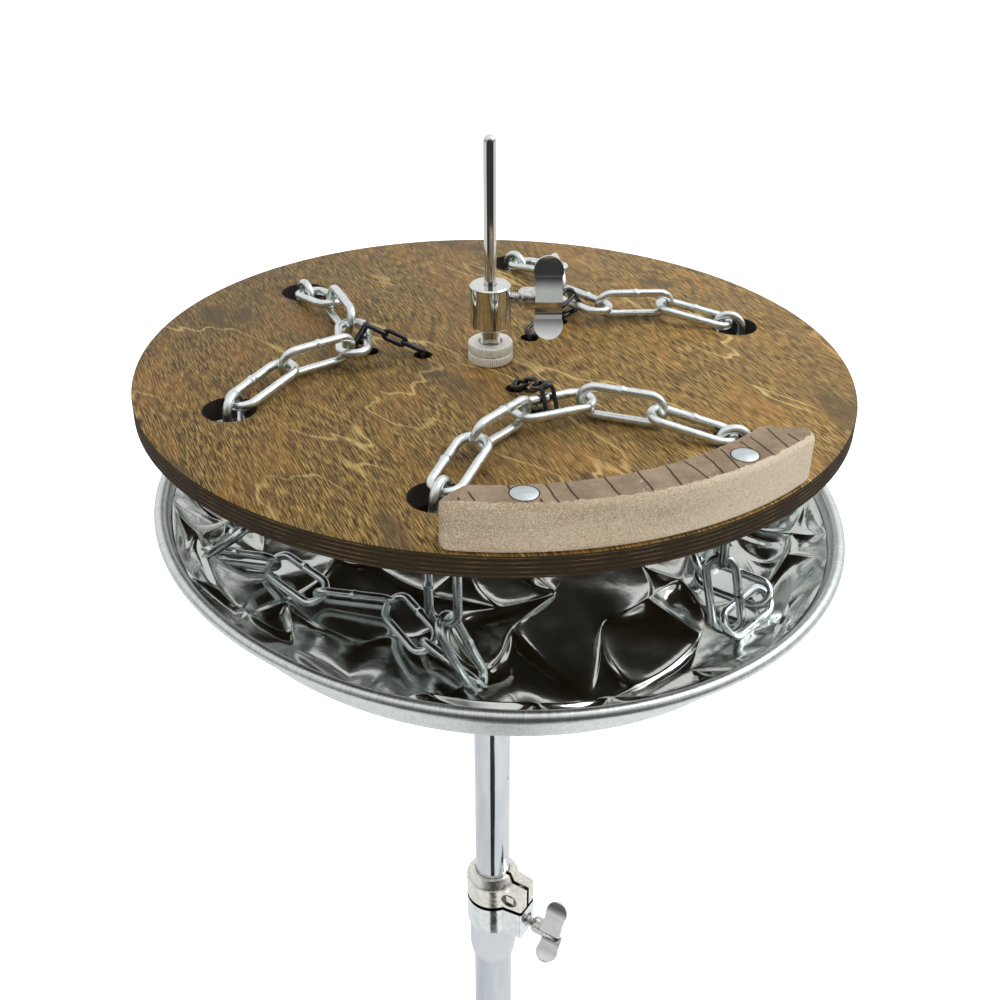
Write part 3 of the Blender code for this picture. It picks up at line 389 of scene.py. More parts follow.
def raw_block(n):
    """Rough sawn front, browner planed top with saw kerfs across it."""
    place = n.place()
    x, y, _ = n.split(place)
    speckle = n.noise(place, 1500.0, 3.0, 0.7)
    clouds = n.stretched(place, (16, 16, 90), 4.0, 0.6)
    front = n.mix(n.step(clouds, 0.35, 0.68), (0.32, 0.240, 0.158), (0.44, 0.348, 0.240))
    # Painted light: the front is mixed towards a paler colour to the right (x 0.04 to 0.12), standing in
    # for the light that falls on the block's right side.
    front = n.mix(n.step(x, 0.04, 0.12, 0.0, 0.6), front, (0.68, 0.59, 0.46))
    front = n.mix(n.step(speckle, 0.48, 0.64, 0.0, 0.75), front, (0.61, 0.52, 0.395))
    front = n.mix(n.step(speckle, 0.46, 0.32, 0.0, 0.7), front, (0.19, 0.13, 0.08))
    wobble = n.centred(n.noise(place, 90.0, 2.0), 0.010)
    kerf = kerf_mask(n, x, y, wobble)
    grain = n.stretched(place, (70, 70, 1), 4.0, 0.65)
    chips = n.times(n.step(n.noise(place, 420.0, 4.0, 0.7), 0.60, 0.68),
                   n.step(n.noise(place, 45.0, 2.0), 0.50, 0.62))
    top = n.mix(n.step(grain, 0.3, 0.7), (0.185, 0.132, 0.085), (0.310, 0.235, 0.160))
    top = n.mix(n.step(speckle, 0.5, 0.8, 0.0, 0.5), top, (0.42, 0.34, 0.26))
    top = n.mix(n.times(chips, 0.7), top, (0.55, 0.46, 0.36))
    # Painted shade: the saw kerfs are painted near-black, as the shade inside the cuts; the bump further
    # down also cuts them in.
    top = n.mix(n.times(kerf, 0.92), top, (0.045, 0.025, 0.020))
    facing = n.facing_up("True Normal")
    radius = n.from_axis(x, y)
    ragged = n.centred(n.noise(place, 260.0, 4.0, 0.7), 0.0050)
    inside = n.step(n.math("ADD", radius, ragged), board_radius - 0.0032, board_radius - 0.0026, 1.0, 0.0)
    upper = n.times(n.step(facing, 0.80, 0.90), inside)
    cut = n.times(n.times(kerf, upper), -3.0)
    height = n.math("ADD", n.times(speckle, 0.5), cut)
    return {"Base Color": n.mix(upper, front, top), "Roughness": 0.85,
            "Normal": n.bump(height, 0.0004, 0.7), "Specular IOR Level": 0.2}


def plated(colour, roughness, variation=0.12, scale=300.0, bump=0.00004, metallic=1.0):
    """Plated or polished metal with faint mottling and tiny unevenness."""
    def build(n):
        spots = n.noise(n.place(), scale, 3.0, 0.6)
        darker = tuple(c * (1 - variation) for c in colour)
        return {"Base Color": n.mix(n.step(spots, 0.3, 0.7), darker, colour), "Metallic": metallic,
                "Roughness": n.step(spots, 0.2, 0.8, roughness * 0.8, roughness * 1.25),
                "Normal": n.bump(spots, bump, 0.5)}
    return build


def plain(colour, roughness, variation=0.25, scale=400.0):
    def build(n):
        spots = n.noise(n.place(), scale, 3.0, 0.6)
        darker = tuple(c * (1 - variation) for c in colour)
        return {"Base Color": n.mix(spots, darker, colour), "Roughness": roughness,
                "Normal": n.bump(spots, 0.0001, 0.3)}
    return build


def pan_inside(n):
    """Bright crumpled sheet, with fine crinkles between the folds."""
    place = n.place()
    film = n.noise(place, 70.0, 3.0)
    fine = n.noise(place, 400.0, 3.0)
    normal = n.bump(film, 0.0012, 0.25)
    normal = n.bump(fine, 0.00006, 0.3, normal)
    return {"Base Color": n.mix(film, (0.50, 0.52, 0.49), (0.72, 0.74, 0.71)), "Metallic": 1.0,
            "Roughness": n.step(film, 0.3, 0.8, 0.10, 0.22), "Normal": normal}


def pan_outside(n):
    """Galvanised sheet with fine upright streaks."""
    place = n.place()
    x, y, z = n.split(place)
    angle = n.math("ARCTAN2", y, x)
    around = n.value("CombineXYZ", {0: n.times(angle, 180.0),
                                            2: n.times(z, 90.0)})
    streak = n.noise(around, 1.6, 5.0, 0.75)
    spangle = n.noise(place, 210.0, 3.0, 0.6)
    colour = n.mix(n.step(streak, 0.3, 0.75), (0.58, 0.62, 0.60), (0.90, 0.94, 0.92))
    colour = n.mix(n.step(spangle, 0.45, 0.75, 0.0, 0.4), colour, (0.44, 0.47, 0.45))
    return {"Base Color": colour, "Metallic": 1.0, "Roughness": n.step(streak, 0.2, 0.8, 0.28, 0.46),
            "Normal": n.bump(streak, 0.00012, 0.5)}


def clamp_metal(n):
    """Polished die casting, with painted shade in the joint under the collar: its top is painted
    near-black.
    """
    spots = n.noise(n.place(), 180.0, 3.0, 0.6)
    z = n.split(n.place())[2]
    colour = n.mix(n.step(spots, 0.3, 0.7), (0.70, 0.73, 0.74), (0.86, 0.88, 0.88))
    # Painted shade: above z 0.1306 the clamp is painted near-black, as the shade in the joint under the
    # collar; it stays dark when the collar slides up.
    colour = n.mix(n.step(z, 0.1306, 0.1311), colour, (0.03, 0.03, 0.03))
    return {"Base Color": colour, "Metallic": 1.0, "Roughness": n.step(spots, 0.2, 0.8, 0.10, 0.20),
            "Normal": n.bump(spots, 0.0003, 0.4)}


def scratched_chrome(n):
    place = n.place()
    scratch = n.stretched(place, (700, 700, 60), 4.0, 0.7)
    mark = n.step(n.cells(n.mapped(place, (1, 1, 0.45)), 55.0), 0.035, 0.06, 1.0, 0.0)
    cloud = n.stretched(place, (60, 60, 14), 3.0, 0.6)
    clean = n.mix(n.step(cloud, 0.35, 0.7), (0.56, 0.60, 0.64), (0.70, 0.72, 0.73))
    colour = n.mix(n.times(mark, 0.7), clean, (0.10, 0.10, 0.10))
    return {"Base Color": colour, "Metallic": 1.0, "Roughness": n.step(scratch, 0.3, 0.8, 0.08, 0.17),
            "Normal": n.bump(scratch, 0.00003, 0.25)}


looks = {
    "board_face": board_face,
    "ply_edge": ply_edge,
    "recess_shade": recess_shade,
    "raw_block": raw_block,
    "cap": plated((0.62, 0.67, 0.69), 0.42),
    "zinc": plated((0.80, 0.85, 0.84), 0.30, 0.16, 240.0, 0.00008),
    "steel_chain": plated((0.78, 0.85, 0.86), 0.22, 0.22, 200.0, 0.00008),
    "black_chain": plain((0.006, 0.006, 0.008), 0.16),
    "pan_inside": pan_inside,
    "pan_outside": pan_outside,
    "chrome": plated((0.76, 0.76, 0.73), 0.07, 0.05, 120.0, 0.00002),
    "wing_chrome": plated((0.68, 0.70, 0.67), 0.10, 0.08, 150.0, 0.00006),
    "clamp_chrome": clamp_metal,
    "cast_chrome": plated((0.72, 0.71, 0.68), 0.20, 0.3, 420.0, 0.0006),
    "tube_chrome": scratched_chrome,
    "nickel": plated((0.90, 0.87, 0.80), 0.24, 0.26, 300.0, 0.0002),
    "satin_nickel": plated((0.90, 0.88, 0.81), 0.40, 0.20, 500.0, metallic=0.4),
    "nylon": plain((0.70, 0.72, 0.75), 0.42, 0.06),
    "felt": plain((0.05, 0.05, 0.05), 0.95, 0.5, 900.0),
    "spring_steel": plated((0.45, 0.46, 0.48), 0.28),
}
materials = {name: new_material(name, look) for name, look in looks.items()}


# Shapes

def finish_piece(obj, body, slot_name, replaced=(), *names):
    for name in names:
        obj.data.materials.append(materials[name])
    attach(obj, body)
    if replaced:
        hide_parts(*replaced)
    return obj


def mesh_of(shape, name):
    mesh = bpy.data.meshes.new(name)
    shape.to_mesh(mesh)
    shape.free()
    return mesh


def smooth(mesh, angle=35):
    mesh.shade_smooth()
    mesh.set_sharp_from_angle(angle=radians(angle))


def mesh_piece(name, points, faces, matrix=None, angle=35):
    mesh = new_mesh(name, points, faces)
    smooth(mesh, angle)
    return add_object(name, mesh, matrix)


def turned(name, profile, steps=96, closed=True, matrix=None, wobble=None):
    """A profile of (radius, height) turned about Z; wobble changes the radius by angle."""
    points, faces = [], []
    rows = len(profile)
    for i in range(steps):
        angle = 2 * pi * i / steps
        for radius, height in profile:
            reach = radius * (wobble(angle, radius, height) if wobble else 1.0)
            points.append((reach * cos(angle), reach * sin(angle), height))
    last = rows if closed else rows - 1
    for i in range(steps):
        for j in range(last):
            a, b = i * rows + j, i * rows + (j + 1) % rows
            c, d = ((i + 1) % steps) * rows + (j + 1) % rows, ((i + 1) % steps) * rows + j
            faces.append((a, b, c, d))
    obj = mesh_piece(name, points, faces, matrix)
    shape = bmesh.new()
    shape.from_mesh(obj.data)
    bmesh.ops.remove_doubles(shape, verts=shape.verts, dist=0.0000005)
    bmesh.ops.recalc_face_normals(shape, faces=shape.faces)
    shape.to_mesh(obj.data)
    shape.free()
    smooth(obj.data)
    return obj


def plate(name, outline, low, high, matrix=None):
    """An outline in XY raised between two heights."""
    count = len(outline)
    points = [(x, y, high) for x, y in outline] + [(x, y, low) for x, y in outline]
    faces = [tuple(range(count)), tuple(range(2 * count - 1, count - 1, -1))]
    faces += [(i, count + i, count + (i + 1) % count, (i + 1) % count) for i in range(count)]
    return mesh_piece(name, points, faces, matrix)


def arc(x, y, radius, start, end, count):
    turns = [radians(start + (end - start) * i / (count - 1)) for i in range(count)]
    return [(x + radius * cos(turn), y + radius * sin(turn)) for turn in turns]


def polar(radius, angle, height=0.0):
    return Vector((radius * cos(radians(angle)), radius * sin(radians(angle)), height))


def boolean(obj, tool, operation="DIFFERENCE"):
    change = obj.modifiers.new(operation.lower(), "BOOLEAN")
    change.operation = operation
    change.object = tool
    change.solver = "EXACT"
    change.material_mode = "TRANSFER"
    bpy.context.view_layer.update()
    mesh = bpy.data.meshes.new_from_object(obj.evaluated_get(bpy.context.evaluated_depsgraph_get()))
    obj.modifiers.remove(change)
    if not any(mesh.materials):
        mesh.materials.clear()
        mesh.polygons.foreach_set("material_index", [0] * len(mesh.polygons))
    obj.data = mesh
    bpy.data.objects.remove(tool)


def add_cylinder(shape, radius, depth, centre, steps=48):
    bmesh.ops.create_cone(shape, cap_ends=True, segments=steps, radius1=radius, radius2=radius, depth=depth,
                          matrix=shift(centre))


def bevelled(obj, width, segments=3, angle=35):
    rounding = obj.modifiers.new("bevel", "BEVEL")
    rounding.width = width
    rounding.segments = segments
    rounding.limit_method = "ANGLE"
    rounding.angle_limit = radians(angle)
    rounding.harden_normals = True
    return obj


def frame_of(origin, long_axis, width_axis):
    x_axis = long_axis.normalized()
    z_axis = x_axis.cross(width_axis).normalized()
    turn = Matrix((x_axis, z_axis.cross(x_axis), z_axis)).transposed().to_4x4()
    return shift(origin) @ turn


# Chain links

def link_path(reach, half_width, per_end, bead):
    """Points and wire thickness shares along an oval link, with its weld in the middle of one bar."""
    path = []
    for side in (1, -1):
        for i in range(per_end):
            angle = -pi / 2 + pi * i / (per_end - 1)
            path.append((side * (reach + half_width * cos(angle)), side * half_width * sin(angle), 1.0))
        if side == 1 and bead:
            for x, share in ((0.0030, 1.0), (0.0013, 1.06), (0.0006, 1.20), (-0.0004, 1.22),
                             (-0.0009, 1.05), (-0.0030, 1.0)):
                path.append((x, half_width, share))
    return path


def link_mesh(name, reach, half_width, thickness, per_end=13, sides=14, bead=True):
    path = link_path(reach, half_width, per_end, bead)
    count = len(path)
    points, faces = [], []
    for i, (x, y, share) in enumerate(path):
        before, after = path[i - 1], path[(i + 1) % count]
        along = Vector((after[0] - before[0], after[1] - before[1], 0)).normalized()
        outward = Vector((along.y, -along.x, 0))
        for j in range(sides):
            turn = 2 * pi * j / sides
            off = outward * cos(turn) + Vector((0, 0, sin(turn)))
            points.append(Vector((x, y, 0)) + off * thickness / 2 * share)
    for i in range(count):
        for j in range(sides):
            k = (i + 1) % count
            after = (j + 1) % sides
            faces.append((i * sides + j, i * sides + after, k * sides + after, k * sides + j))
    mesh = new_mesh(name, points, faces)
    mesh.shade_smooth()
    return mesh


def link_frame(node):
    """Where a CAD link lies: its centre, its long axis and its width axis."""
    co = np.array([v.co[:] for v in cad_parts[node].data.vertices])
    _, vectors = np.linalg.eigh(np.cov(co.T))
    local = co @ vectors
    centre = vectors @ ((local.max(0) + local.min(0)) / 2)
    return Vector(centre), Vector(vectors[:, 2]), Vector(vectors[:, 1])


def joined(name, mesh, matrices):
    """Copies of one mesh at several places, as one object."""
    shape = bmesh.new()
    for matrix in matrices:
        copy = mesh.copy()
        copy.transform(matrix)
        shape.from_mesh(copy)
        bpy.data.meshes.remove(copy)
    result = mesh_of(shape, name)
    result.shade_smooth()
    return add_object(name, result)


def build_strands():
    mesh = link_mesh("link", arc_offset, bar_offset, wire)
    mesh.materials.append(materials["zinc"])
    places = {}
    for strand in "abc":
        for number in range(1, 8):
            node = "link_" + strand + str(number)
            centre, along, width = link_frame(node)
            if width.z < -0.2 or (abs(width.z) <= 0.2 and width.y < 0):
                width.negate()
            places[node] = (centre, along, width)
            piece = add_object(node + "_welded", mesh, frame_of(centre, along, width))
            finish_piece(piece, "strand_" + strand, "zinc", (node,))
    return places


# Hanging loops, along the same lines as the CAD solids

loop_routes = {
    "a": ((-0.135, -0.050), (-0.106, -0.056), (-0.081, -0.078), (-0.048, -0.081), (-0.030, -0.110),
          (-0.008, -0.137)),
    "b": ((0.002, 0.104), (-0.012, 0.076), (-0.038, 0.100), (-0.060, 0.070), (-0.086, 0.092),
          (-0.108, 0.070)),
    "c": ((0.116, -0.088), (0.137, -0.061), (0.108, -0.043), (0.106, -0.008), (0.121, 0.022),
          (0.129, 0.050)),
}
loop_ends = {"a": ("link_a7", "link_c1"), "b": ("link_b1", "link_a1"), "c": ("link_c7", "link_b7")}
floor_clearance = 0.0130
weld_overlap = 0.0012


def clear_height(point):
    normal = pan_frame.to_3x3() @ Vector((0, 0, 1))
    origin = pan_frame @ Vector((0, 0, pan_floor))
    floor = origin.z - (normal.x * (point.x - origin.x) + normal.y * (point.y - origin.y)) / normal.z
    return floor + floor_clearance


def relax(points, length, rounds=300):
    points = [point.copy() for point in points]
    first, last = points[0].copy(), points[-1].copy()
    for _ in range(rounds):
        points[-1] = last.copy()
        for i in range(len(points) - 2, -1, -1):
            points[i] = points[i + 1] + (points[i] - points[i + 1]).normalized() * length
        points[0] = first.copy()
        for i in range(1, len(points)):
            points[i] = points[i - 1] + (points[i] - points[i - 1]).normalized() * length
            if i < len(points) - 1:
                points[i].z = max(points[i].z, clear_height(points[i]))
    return points


def loop_pivots(route, start, end):
    free_half = inner_length / 2 - link_gap / 2
    held_half = inner_length / 2 + weld_overlap / 2
    drop = bar_offset - wire / 2 - link_gap / 2
    first, last = start + down * drop, end + down * drop
    rough = [first + down * (free_half + held_half)]
    for x, y in route:
        point = Vector((x, y, 0))
        point.z = max(clear_height(point), rough[0].z - 2 * held_half)
        rough.append(point)
    rough.append(last + down * (free_half + held_half))
    return [first] + relax(rough, 2 * held_half) + [last]


def carried_axes(pivots, first_width, last_width):
    directions = [(b - a).normalized() for a, b in zip(pivots, pivots[1:])]
    axes = [first_width]
    for before, after in zip(directions, directions[1:]):
        axes.append(before.rotation_difference(after) @ axes[-1])
    last = directions[-1]
    wanted = (last_width - last * last_width.dot(last)).normalized()
    if wanted.dot(axes[-1]) < 0:
        wanted.negate()
    twist = axes[-1].angle(wanted)
    if axes[-1].cross(wanted).dot(last) < 0:
        twist = -twist
    rolled = []
    for i, (along, width) in enumerate(zip(directions, axes)):
        quarter = pi / 2 if i % 2 == 0 else 0.0
        rolled.append(Matrix.Rotation(quarter + twist * i / (len(axes) - 1), 3, along) @ width)
    return directions, rolled


def build_loops(places):
    mesh = link_mesh("loop_link", arc_offset, bar_offset, wire)
    for name, ends in loop_ends.items():
        tops = []
        for node in ends:
            centre, along, width = places[node]
            tops.append((centre + down * arc_offset, Vector((width.x, width.y, 0)).normalized()))
        (start, first_width), (end, last_width) = tops
        pivots = loop_pivots(loop_routes[name], start, end)
        directions, widths = carried_axes(pivots, first_width, last_width)
        matrices = []
        for i, (along, width) in enumerate(zip(directions, widths)):
            middle = (pivots[i] + pivots[i + 1]) / 2
            if i == 0:
                middle = pivots[0] + along * (inner_length / 2 - link_gap / 2)
            if i == len(pivots) - 2:
                middle = pivots[-1] - along * (inner_length / 2 - link_gap / 2)
            matrices.append(frame_of(middle, along, width))
        piece = joined("loop_links_" + name, mesh, matrices)
        finish_piece(piece, "clutch", "zinc", ("chain_loop_" + name,), "steel_chain")
        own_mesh(piece)


# Board, block and ties

def build_board():
    edge = 0.0010
    profile = [(0, 0), (board_radius - edge, 0), (board_radius - edge * 0.3, -edge * 0.3),
               (board_radius, -edge), (board_radius, edge - board_thickness),
               (board_radius - edge, -board_thickness), (0, -board_thickness)]
    board = turned("ply_board", profile, 256, False, board_frame @ shift((board_offset, 0, 0)))
    board.data.materials.append(materials["board_face"])
    board.data.materials.append(materials["ply_edge"])
    for face in board.data.polygons:
        if abs(face.normal.z) < 0.9:
            face.material_index = 1
    shape = bmesh.new()
    holes = [(polar(chain_hole_circle, a), chain_hole_radius) for a in chain_hole_angles]
    for angle in tie_angles.values():
        holes += [(polar(radius, angle) - Vector((board_offset, 0, 0)), tie_hole_radius)
                  for radius in tie_circles]
    holes.append((Vector((-board_offset, 0, 0)), 0.006))
    for centre, radius in holes:
        add_cylinder(shape, radius, 0.04, centre)
    # The walls of the holes are painted near-black: painted shade inside the holes.
    drills = mesh_of(shape, "drills")
    drills.materials.append(materials["recess_shade"])
    boolean(board, add_object("drills", drills, board.matrix_world))
    smooth(board.data)
    finish_piece(board, "clutch", "stained_wood", ("wood_board",))


def build_block():
    outer = board_radius - gap

    def inset(depth, angle):
        return tuple(polar(outer - depth, angle)[:2])

    outline = arc(0, 0, outer, -95.6, -42.2, 48)
    for k in range(1, 6):
        turn = radians(90 * k / 6)
        outline.append(inset(0.007 * (1 - cos(turn)), -42.2 + 2.4 * sin(turn)))
    outline += [inset(0.0075, -39.9), inset(0.0212, -43.2)]
    for i in range(48):
        share = i / 47
        width = 0.0226 + (0.0168 - 0.0226) * share
        outline.append(inset(width, -44.4 + (-94.0 + 44.4) * share))
    outline += [inset(0.0156, -94.7), inset(0.0050, -97.0)]
    for k in range(1, 6):
        turn = radians(90 - 90 * k / 6)
        outline.append(inset(0.005 * (1 - cos(turn)), -95.6 - 1.6 * sin(turn)))
    block = plate("sawn_block", outline, gap, 0.022 + gap,
                  board_frame @ shift((board_offset, 0, 0)))
    bevelled(block, 0.0024, 4, 50)
    finish_piece(block, "clutch", "raw_wood", ("wood_block",), "raw_block")
    for side, angle in (("left", -86.3), ("right", -53.2)):
        node = "block_disc_" + side
        low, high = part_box(node)
        centre = (low + high) / 2
        matrix = shift(centre) @ board_frame.to_3x3().to_4x4()
        profile = [(0, 0.0006), (0.0052, 0.0006), (0.0057, 0.0003), (0.0057, -0.0005), (0, -0.0005)]
        disc = turned("cap_" + side, profile, 48, False, matrix)
        finish_piece(disc, "clutch", "cap_metal", (node,), "cap")
        # A thin near-black ring around the cap, where it meets the wood: painted shade.
        shade_ring = turned("cap_shade_ring_" + side, [(0.0056, 0.0004), (0.0061, 0.0004), (0.0061, 0.0002),
                                         (0.0056, 0.0002)], 48, True, matrix)
        finish_piece(shade_ring, "clutch", "raw_wood", (), "recess_shade")


tie_wire = 0.0023
tie_pitch = 0.0110
tie_half_width = (0.0078 - tie_wire) / 2
lying_height = 0.0043 / 2 + bar_offset + gap - 0.0013


def tie_knots(strand, places):
    """The same points as the CAD tie: through the inner hole, over the link's bar and down again."""
    centre, along, _ = places["link_" + strand + "4"]
    local = board_frame.inverted() @ centre
    hole, outer_hole = (polar(radius, tie_angles[strand]) for radius in tie_circles)
    direction = board_frame.to_3x3().inverted() @ along
    direction.z = 0
    direction.normalize()
    inward = Vector((-direction.y, direction.x, 0))
    middle = Vector((local.x, local.y, 0))
    if inward.dot(hole - middle) < 0:
        inward.negate()
    crest = middle + inward * bar_offset
    crest.z = lying_height + (wire + 0.0078) / 2 + link_gap
    inside = middle + inward * link_gap
    inside.z = lying_height / 2
    low, below = Vector((0, 0, tie_wire)), Vector((0, 0, -board_thickness))
    return [hole + below, hole + low, crest, inside, outer_hole + low, outer_hole + below]


def build_ties(places):
    for strand in "abc":
        knots = tie_knots(strand, places)
        matrices = []
        for run, (start, end) in enumerate(zip(knots, knots[1:])):
            count = max(1, round((end - start).length / tie_pitch))
            step = (end - start) / count
            for i in range(count):
                flat = step.cross(Vector((0, 0, 1)))
                if flat.length < step.length * 0.2:
                    flat = Vector((0, 1, 0))
                twist = 55.0 * (i % 2) + 20.0 * (run % 2)
                axis = Matrix.Rotation(radians(twist), 3, step.normalized()) @ flat.normalized()
                scale = (step.length + tie_wire * 0.8) / (tie_pitch + tie_wire * 0.8)
                matrices.append(board_frame @ frame_of(start + step * (i + 0.5), step, axis)
                                @ Matrix.Diagonal((scale, 1, 1, 1)))
        mesh = link_mesh("tie_link", (tie_pitch + tie_wire * 0.8) / 2 - tie_half_width, tie_half_width,
                         tie_wire, 7, 8, False)
        piece = joined("twisted_tie_" + strand, mesh, matrices)
        piece.data.materials.append(materials["black_chain"])
        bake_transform(piece)
        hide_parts("tie_" + strand)


# Clutch, rod and nuts

def build_rod():
    dome = [(rod_radius * sin(radians(a)), rod_tip - rod_radius + rod_radius * cos(radians(a)))
            for a in range(0, 91, 9)]
    rod = turned("polished_rod", dome + [(rod_radius, rod_end), (0, rod_end)], 48, False)
    finish_piece(rod, "rod", "chrome", ("pull_rod",), "chrome")


def build_spring():
    """The CAD spring's own shape."""
    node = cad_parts["return_spring"]
    spring = add_object("coil_spring", node.data.copy(), node.matrix_world.copy())
    spring.data.materials.clear()
    finish_piece(spring, "upper_stage", "spring_steel", ("return_spring",), "spring_steel")
    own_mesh(spring)


def build_clutch():
    low, high = board_top + clutch_seat, board_top + clutch_seat + clutch_length
    outer, sleeve, bore, c = 0.0101, 0.0048, rod_radius + gap, 0.0006
    profile = [(bore, high), (outer - c, high), (outer, high - c), (outer, low + c), (outer - c, low),
               (sleeve + 0.0004, low), (sleeve - 0.0004, low - 0.001)]
    count = 26
    for i in range(count):
        top = low - 0.001 - 0.001 * i
        profile += [(sleeve, top - 0.0003), (sleeve, top - 0.0005), (sleeve - 0.0006, top - 0.001)]
    bottom = board_top - sleeve_drop
    profile += [(sleeve - 0.0002, bottom + 0.0004), (sleeve - 0.0006, bottom), (bore, bottom)]
    body = turned("clutch_cylinder", profile, 64)
    finish_piece(body, "clutch", "chrome", ("clutch_body",), "chrome")


knurl_depth = 0.060


def knurled(name, node, body, outer, teeth, recess=0.0):
    low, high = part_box(node)[0].z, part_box(node)[1].z
    inner = 0.0051
    def wobble(angle, radius, height):
        if radius < outer * 0.97:
            return 1.0
        return 1.0 - knurl_depth * (1 - abs(sin(angle * teeth / 2)))
    top = [(inner, high), (outer - 0.0006, high)]
    if recess:
        top = [(inner, high - 0.0014), (recess, high - 0.0014), (recess, high), (outer - 0.0006, high)]
    profile = top + [(outer - 0.0001, high - 0.0004), (outer, high - 0.0006), (outer, low + 0.0006),
                     (outer - 0.0001, low + 0.0004), (outer - 0.0006, low), (inner, low)]
    ring = turned(name, profile, teeth * 8, True, None, wobble)
    finish_piece(ring, body, "nickel", (node,), "satin_nickel")


def wing_bolt(name, node, body, shaft, matrix, slopes):
    """Threaded shaft, textured hub and a pressed plate with two bent lobes, along +X from its tip."""
    hub, lobe, reach, lead, waist = 0.019, 0.0073, 0.0138, 0.0042, 24
    near_slope, far_slope, low_slope = slopes
    profile = [(0, 0), (0.0024, 0)]
    for i in range(int(shaft / 0.001)):
        profile += [(0.0030, 0.0004 + 0.001 * i), (0.0030, 0.0006 + 0.001 * i), (0.0025, 0.001 + 0.001 * i)]
    profile += [(0.0036, shaft), (0.0050, shaft + 0.0012), (0.0055, shaft + 0.0030),
                (0.0055, shaft + hub - 0.0012), (0.0048, shaft + hub), (0, shaft + hub)]
    along = matrix @ Matrix.Rotation(pi / 2, 4, "Y")
    bolt = turned(name, profile[::-1], 48, False, along)
    finish_piece(bolt, body, "chrome", (node,), "cast_chrome")
    centre = shaft + hub - lead
    outline = arc(centre, reach, lobe, -waist, 180 + waist, 40)
    outline += arc(centre, -reach, lobe, 180 - waist, 360 + waist, 40)
    wings = plate(name + "_wings", outline, -0.0008, 0.0008, matrix)
    shape = bmesh.new()
    shape.from_mesh(wings.data)
    for level in np.linspace(-0.0208, 0.0208, 60):
        bmesh.ops.bisect_plane(shape, geom=shape.verts[:] + shape.edges[:] + shape.faces[:],
                               plane_co=(0, level, 0), plane_no=(0, 1, 0))
    for vert in shape.verts:
        y = vert.co.y
        crown = 14.0 * (vert.co.x - centre) ** 2
        if y > -0.001:
            near, far = max(0.0, y - 0.005), max(0.0, y - 0.014)
            bend = (near_slope - far_slope) / (2 * 0.009)
            vert.co.z += 0.0060 - near_slope * y + bend * (near * near - far * far) - crown
        else:
            fall = max(0.0, -0.0082 - y)
            vert.co.z += -0.0012 + low_slope * 0.9 * fall - crown
            vert.co.y += 0.10 * fall
    shape.to_mesh(wings.data)
    shape.free()
    smooth(wings.data, 40)
    bevelled(wings, 0.0005, 2, 45)
    finish_piece(wings, body, "chrome", (), "wing_chrome")


# Pan

sheet_reach = 0.184
sheet_bend = 0.149
sheet_knee = 0.173
sheet_hole = 0.013
spot_spacing = 0.034
joined_share = 0.40
ridge_heights = (0.0008, 0.0080)
fold_inset = 0.0060
fold_lean = 0.08
smallest_cell = 0.00032


def laid(x, y, height):
    """A spot of the crumpled sheet in the pan: flat over the floor and climbing the wall at its edge."""
    reach = hypot(x, y)
    foot = max(0.0, min(reach, sheet_knee) - sheet_bend) * sqrt(0.5)
    wall = max(0.0, reach - sheet_knee)
    radius = min(reach, sheet_bend) + foot + wall * 0.55 - (height * 0.7 if foot > 0 else 0.0)
    scale = radius / reach
    return Vector((x * scale, y * scale, pan_floor + 0.0006 + foot + wall * 0.866 + height))


def scattered(draw):
    """Rings of scattered spots, from the hole's edge to the sheet's edge."""
    spots = [polar(sheet_hole, 30 * i) for i in range(12)]
    radius = sheet_hole + spot_spacing * 0.7
    while radius < sheet_reach - spot_spacing * 0.6:
        count = round(2 * pi * radius / spot_spacing)
        for i in range(count):
            angle = 360 * (i + draw(-0.38, 0.38)) / count
            spots.append(polar(radius + draw(-0.36, 0.36) * spot_spacing, angle))
        radius += spot_spacing * 0.9
    return spots + [polar(sheet_reach, 7.5 * i) for i in range(48)]


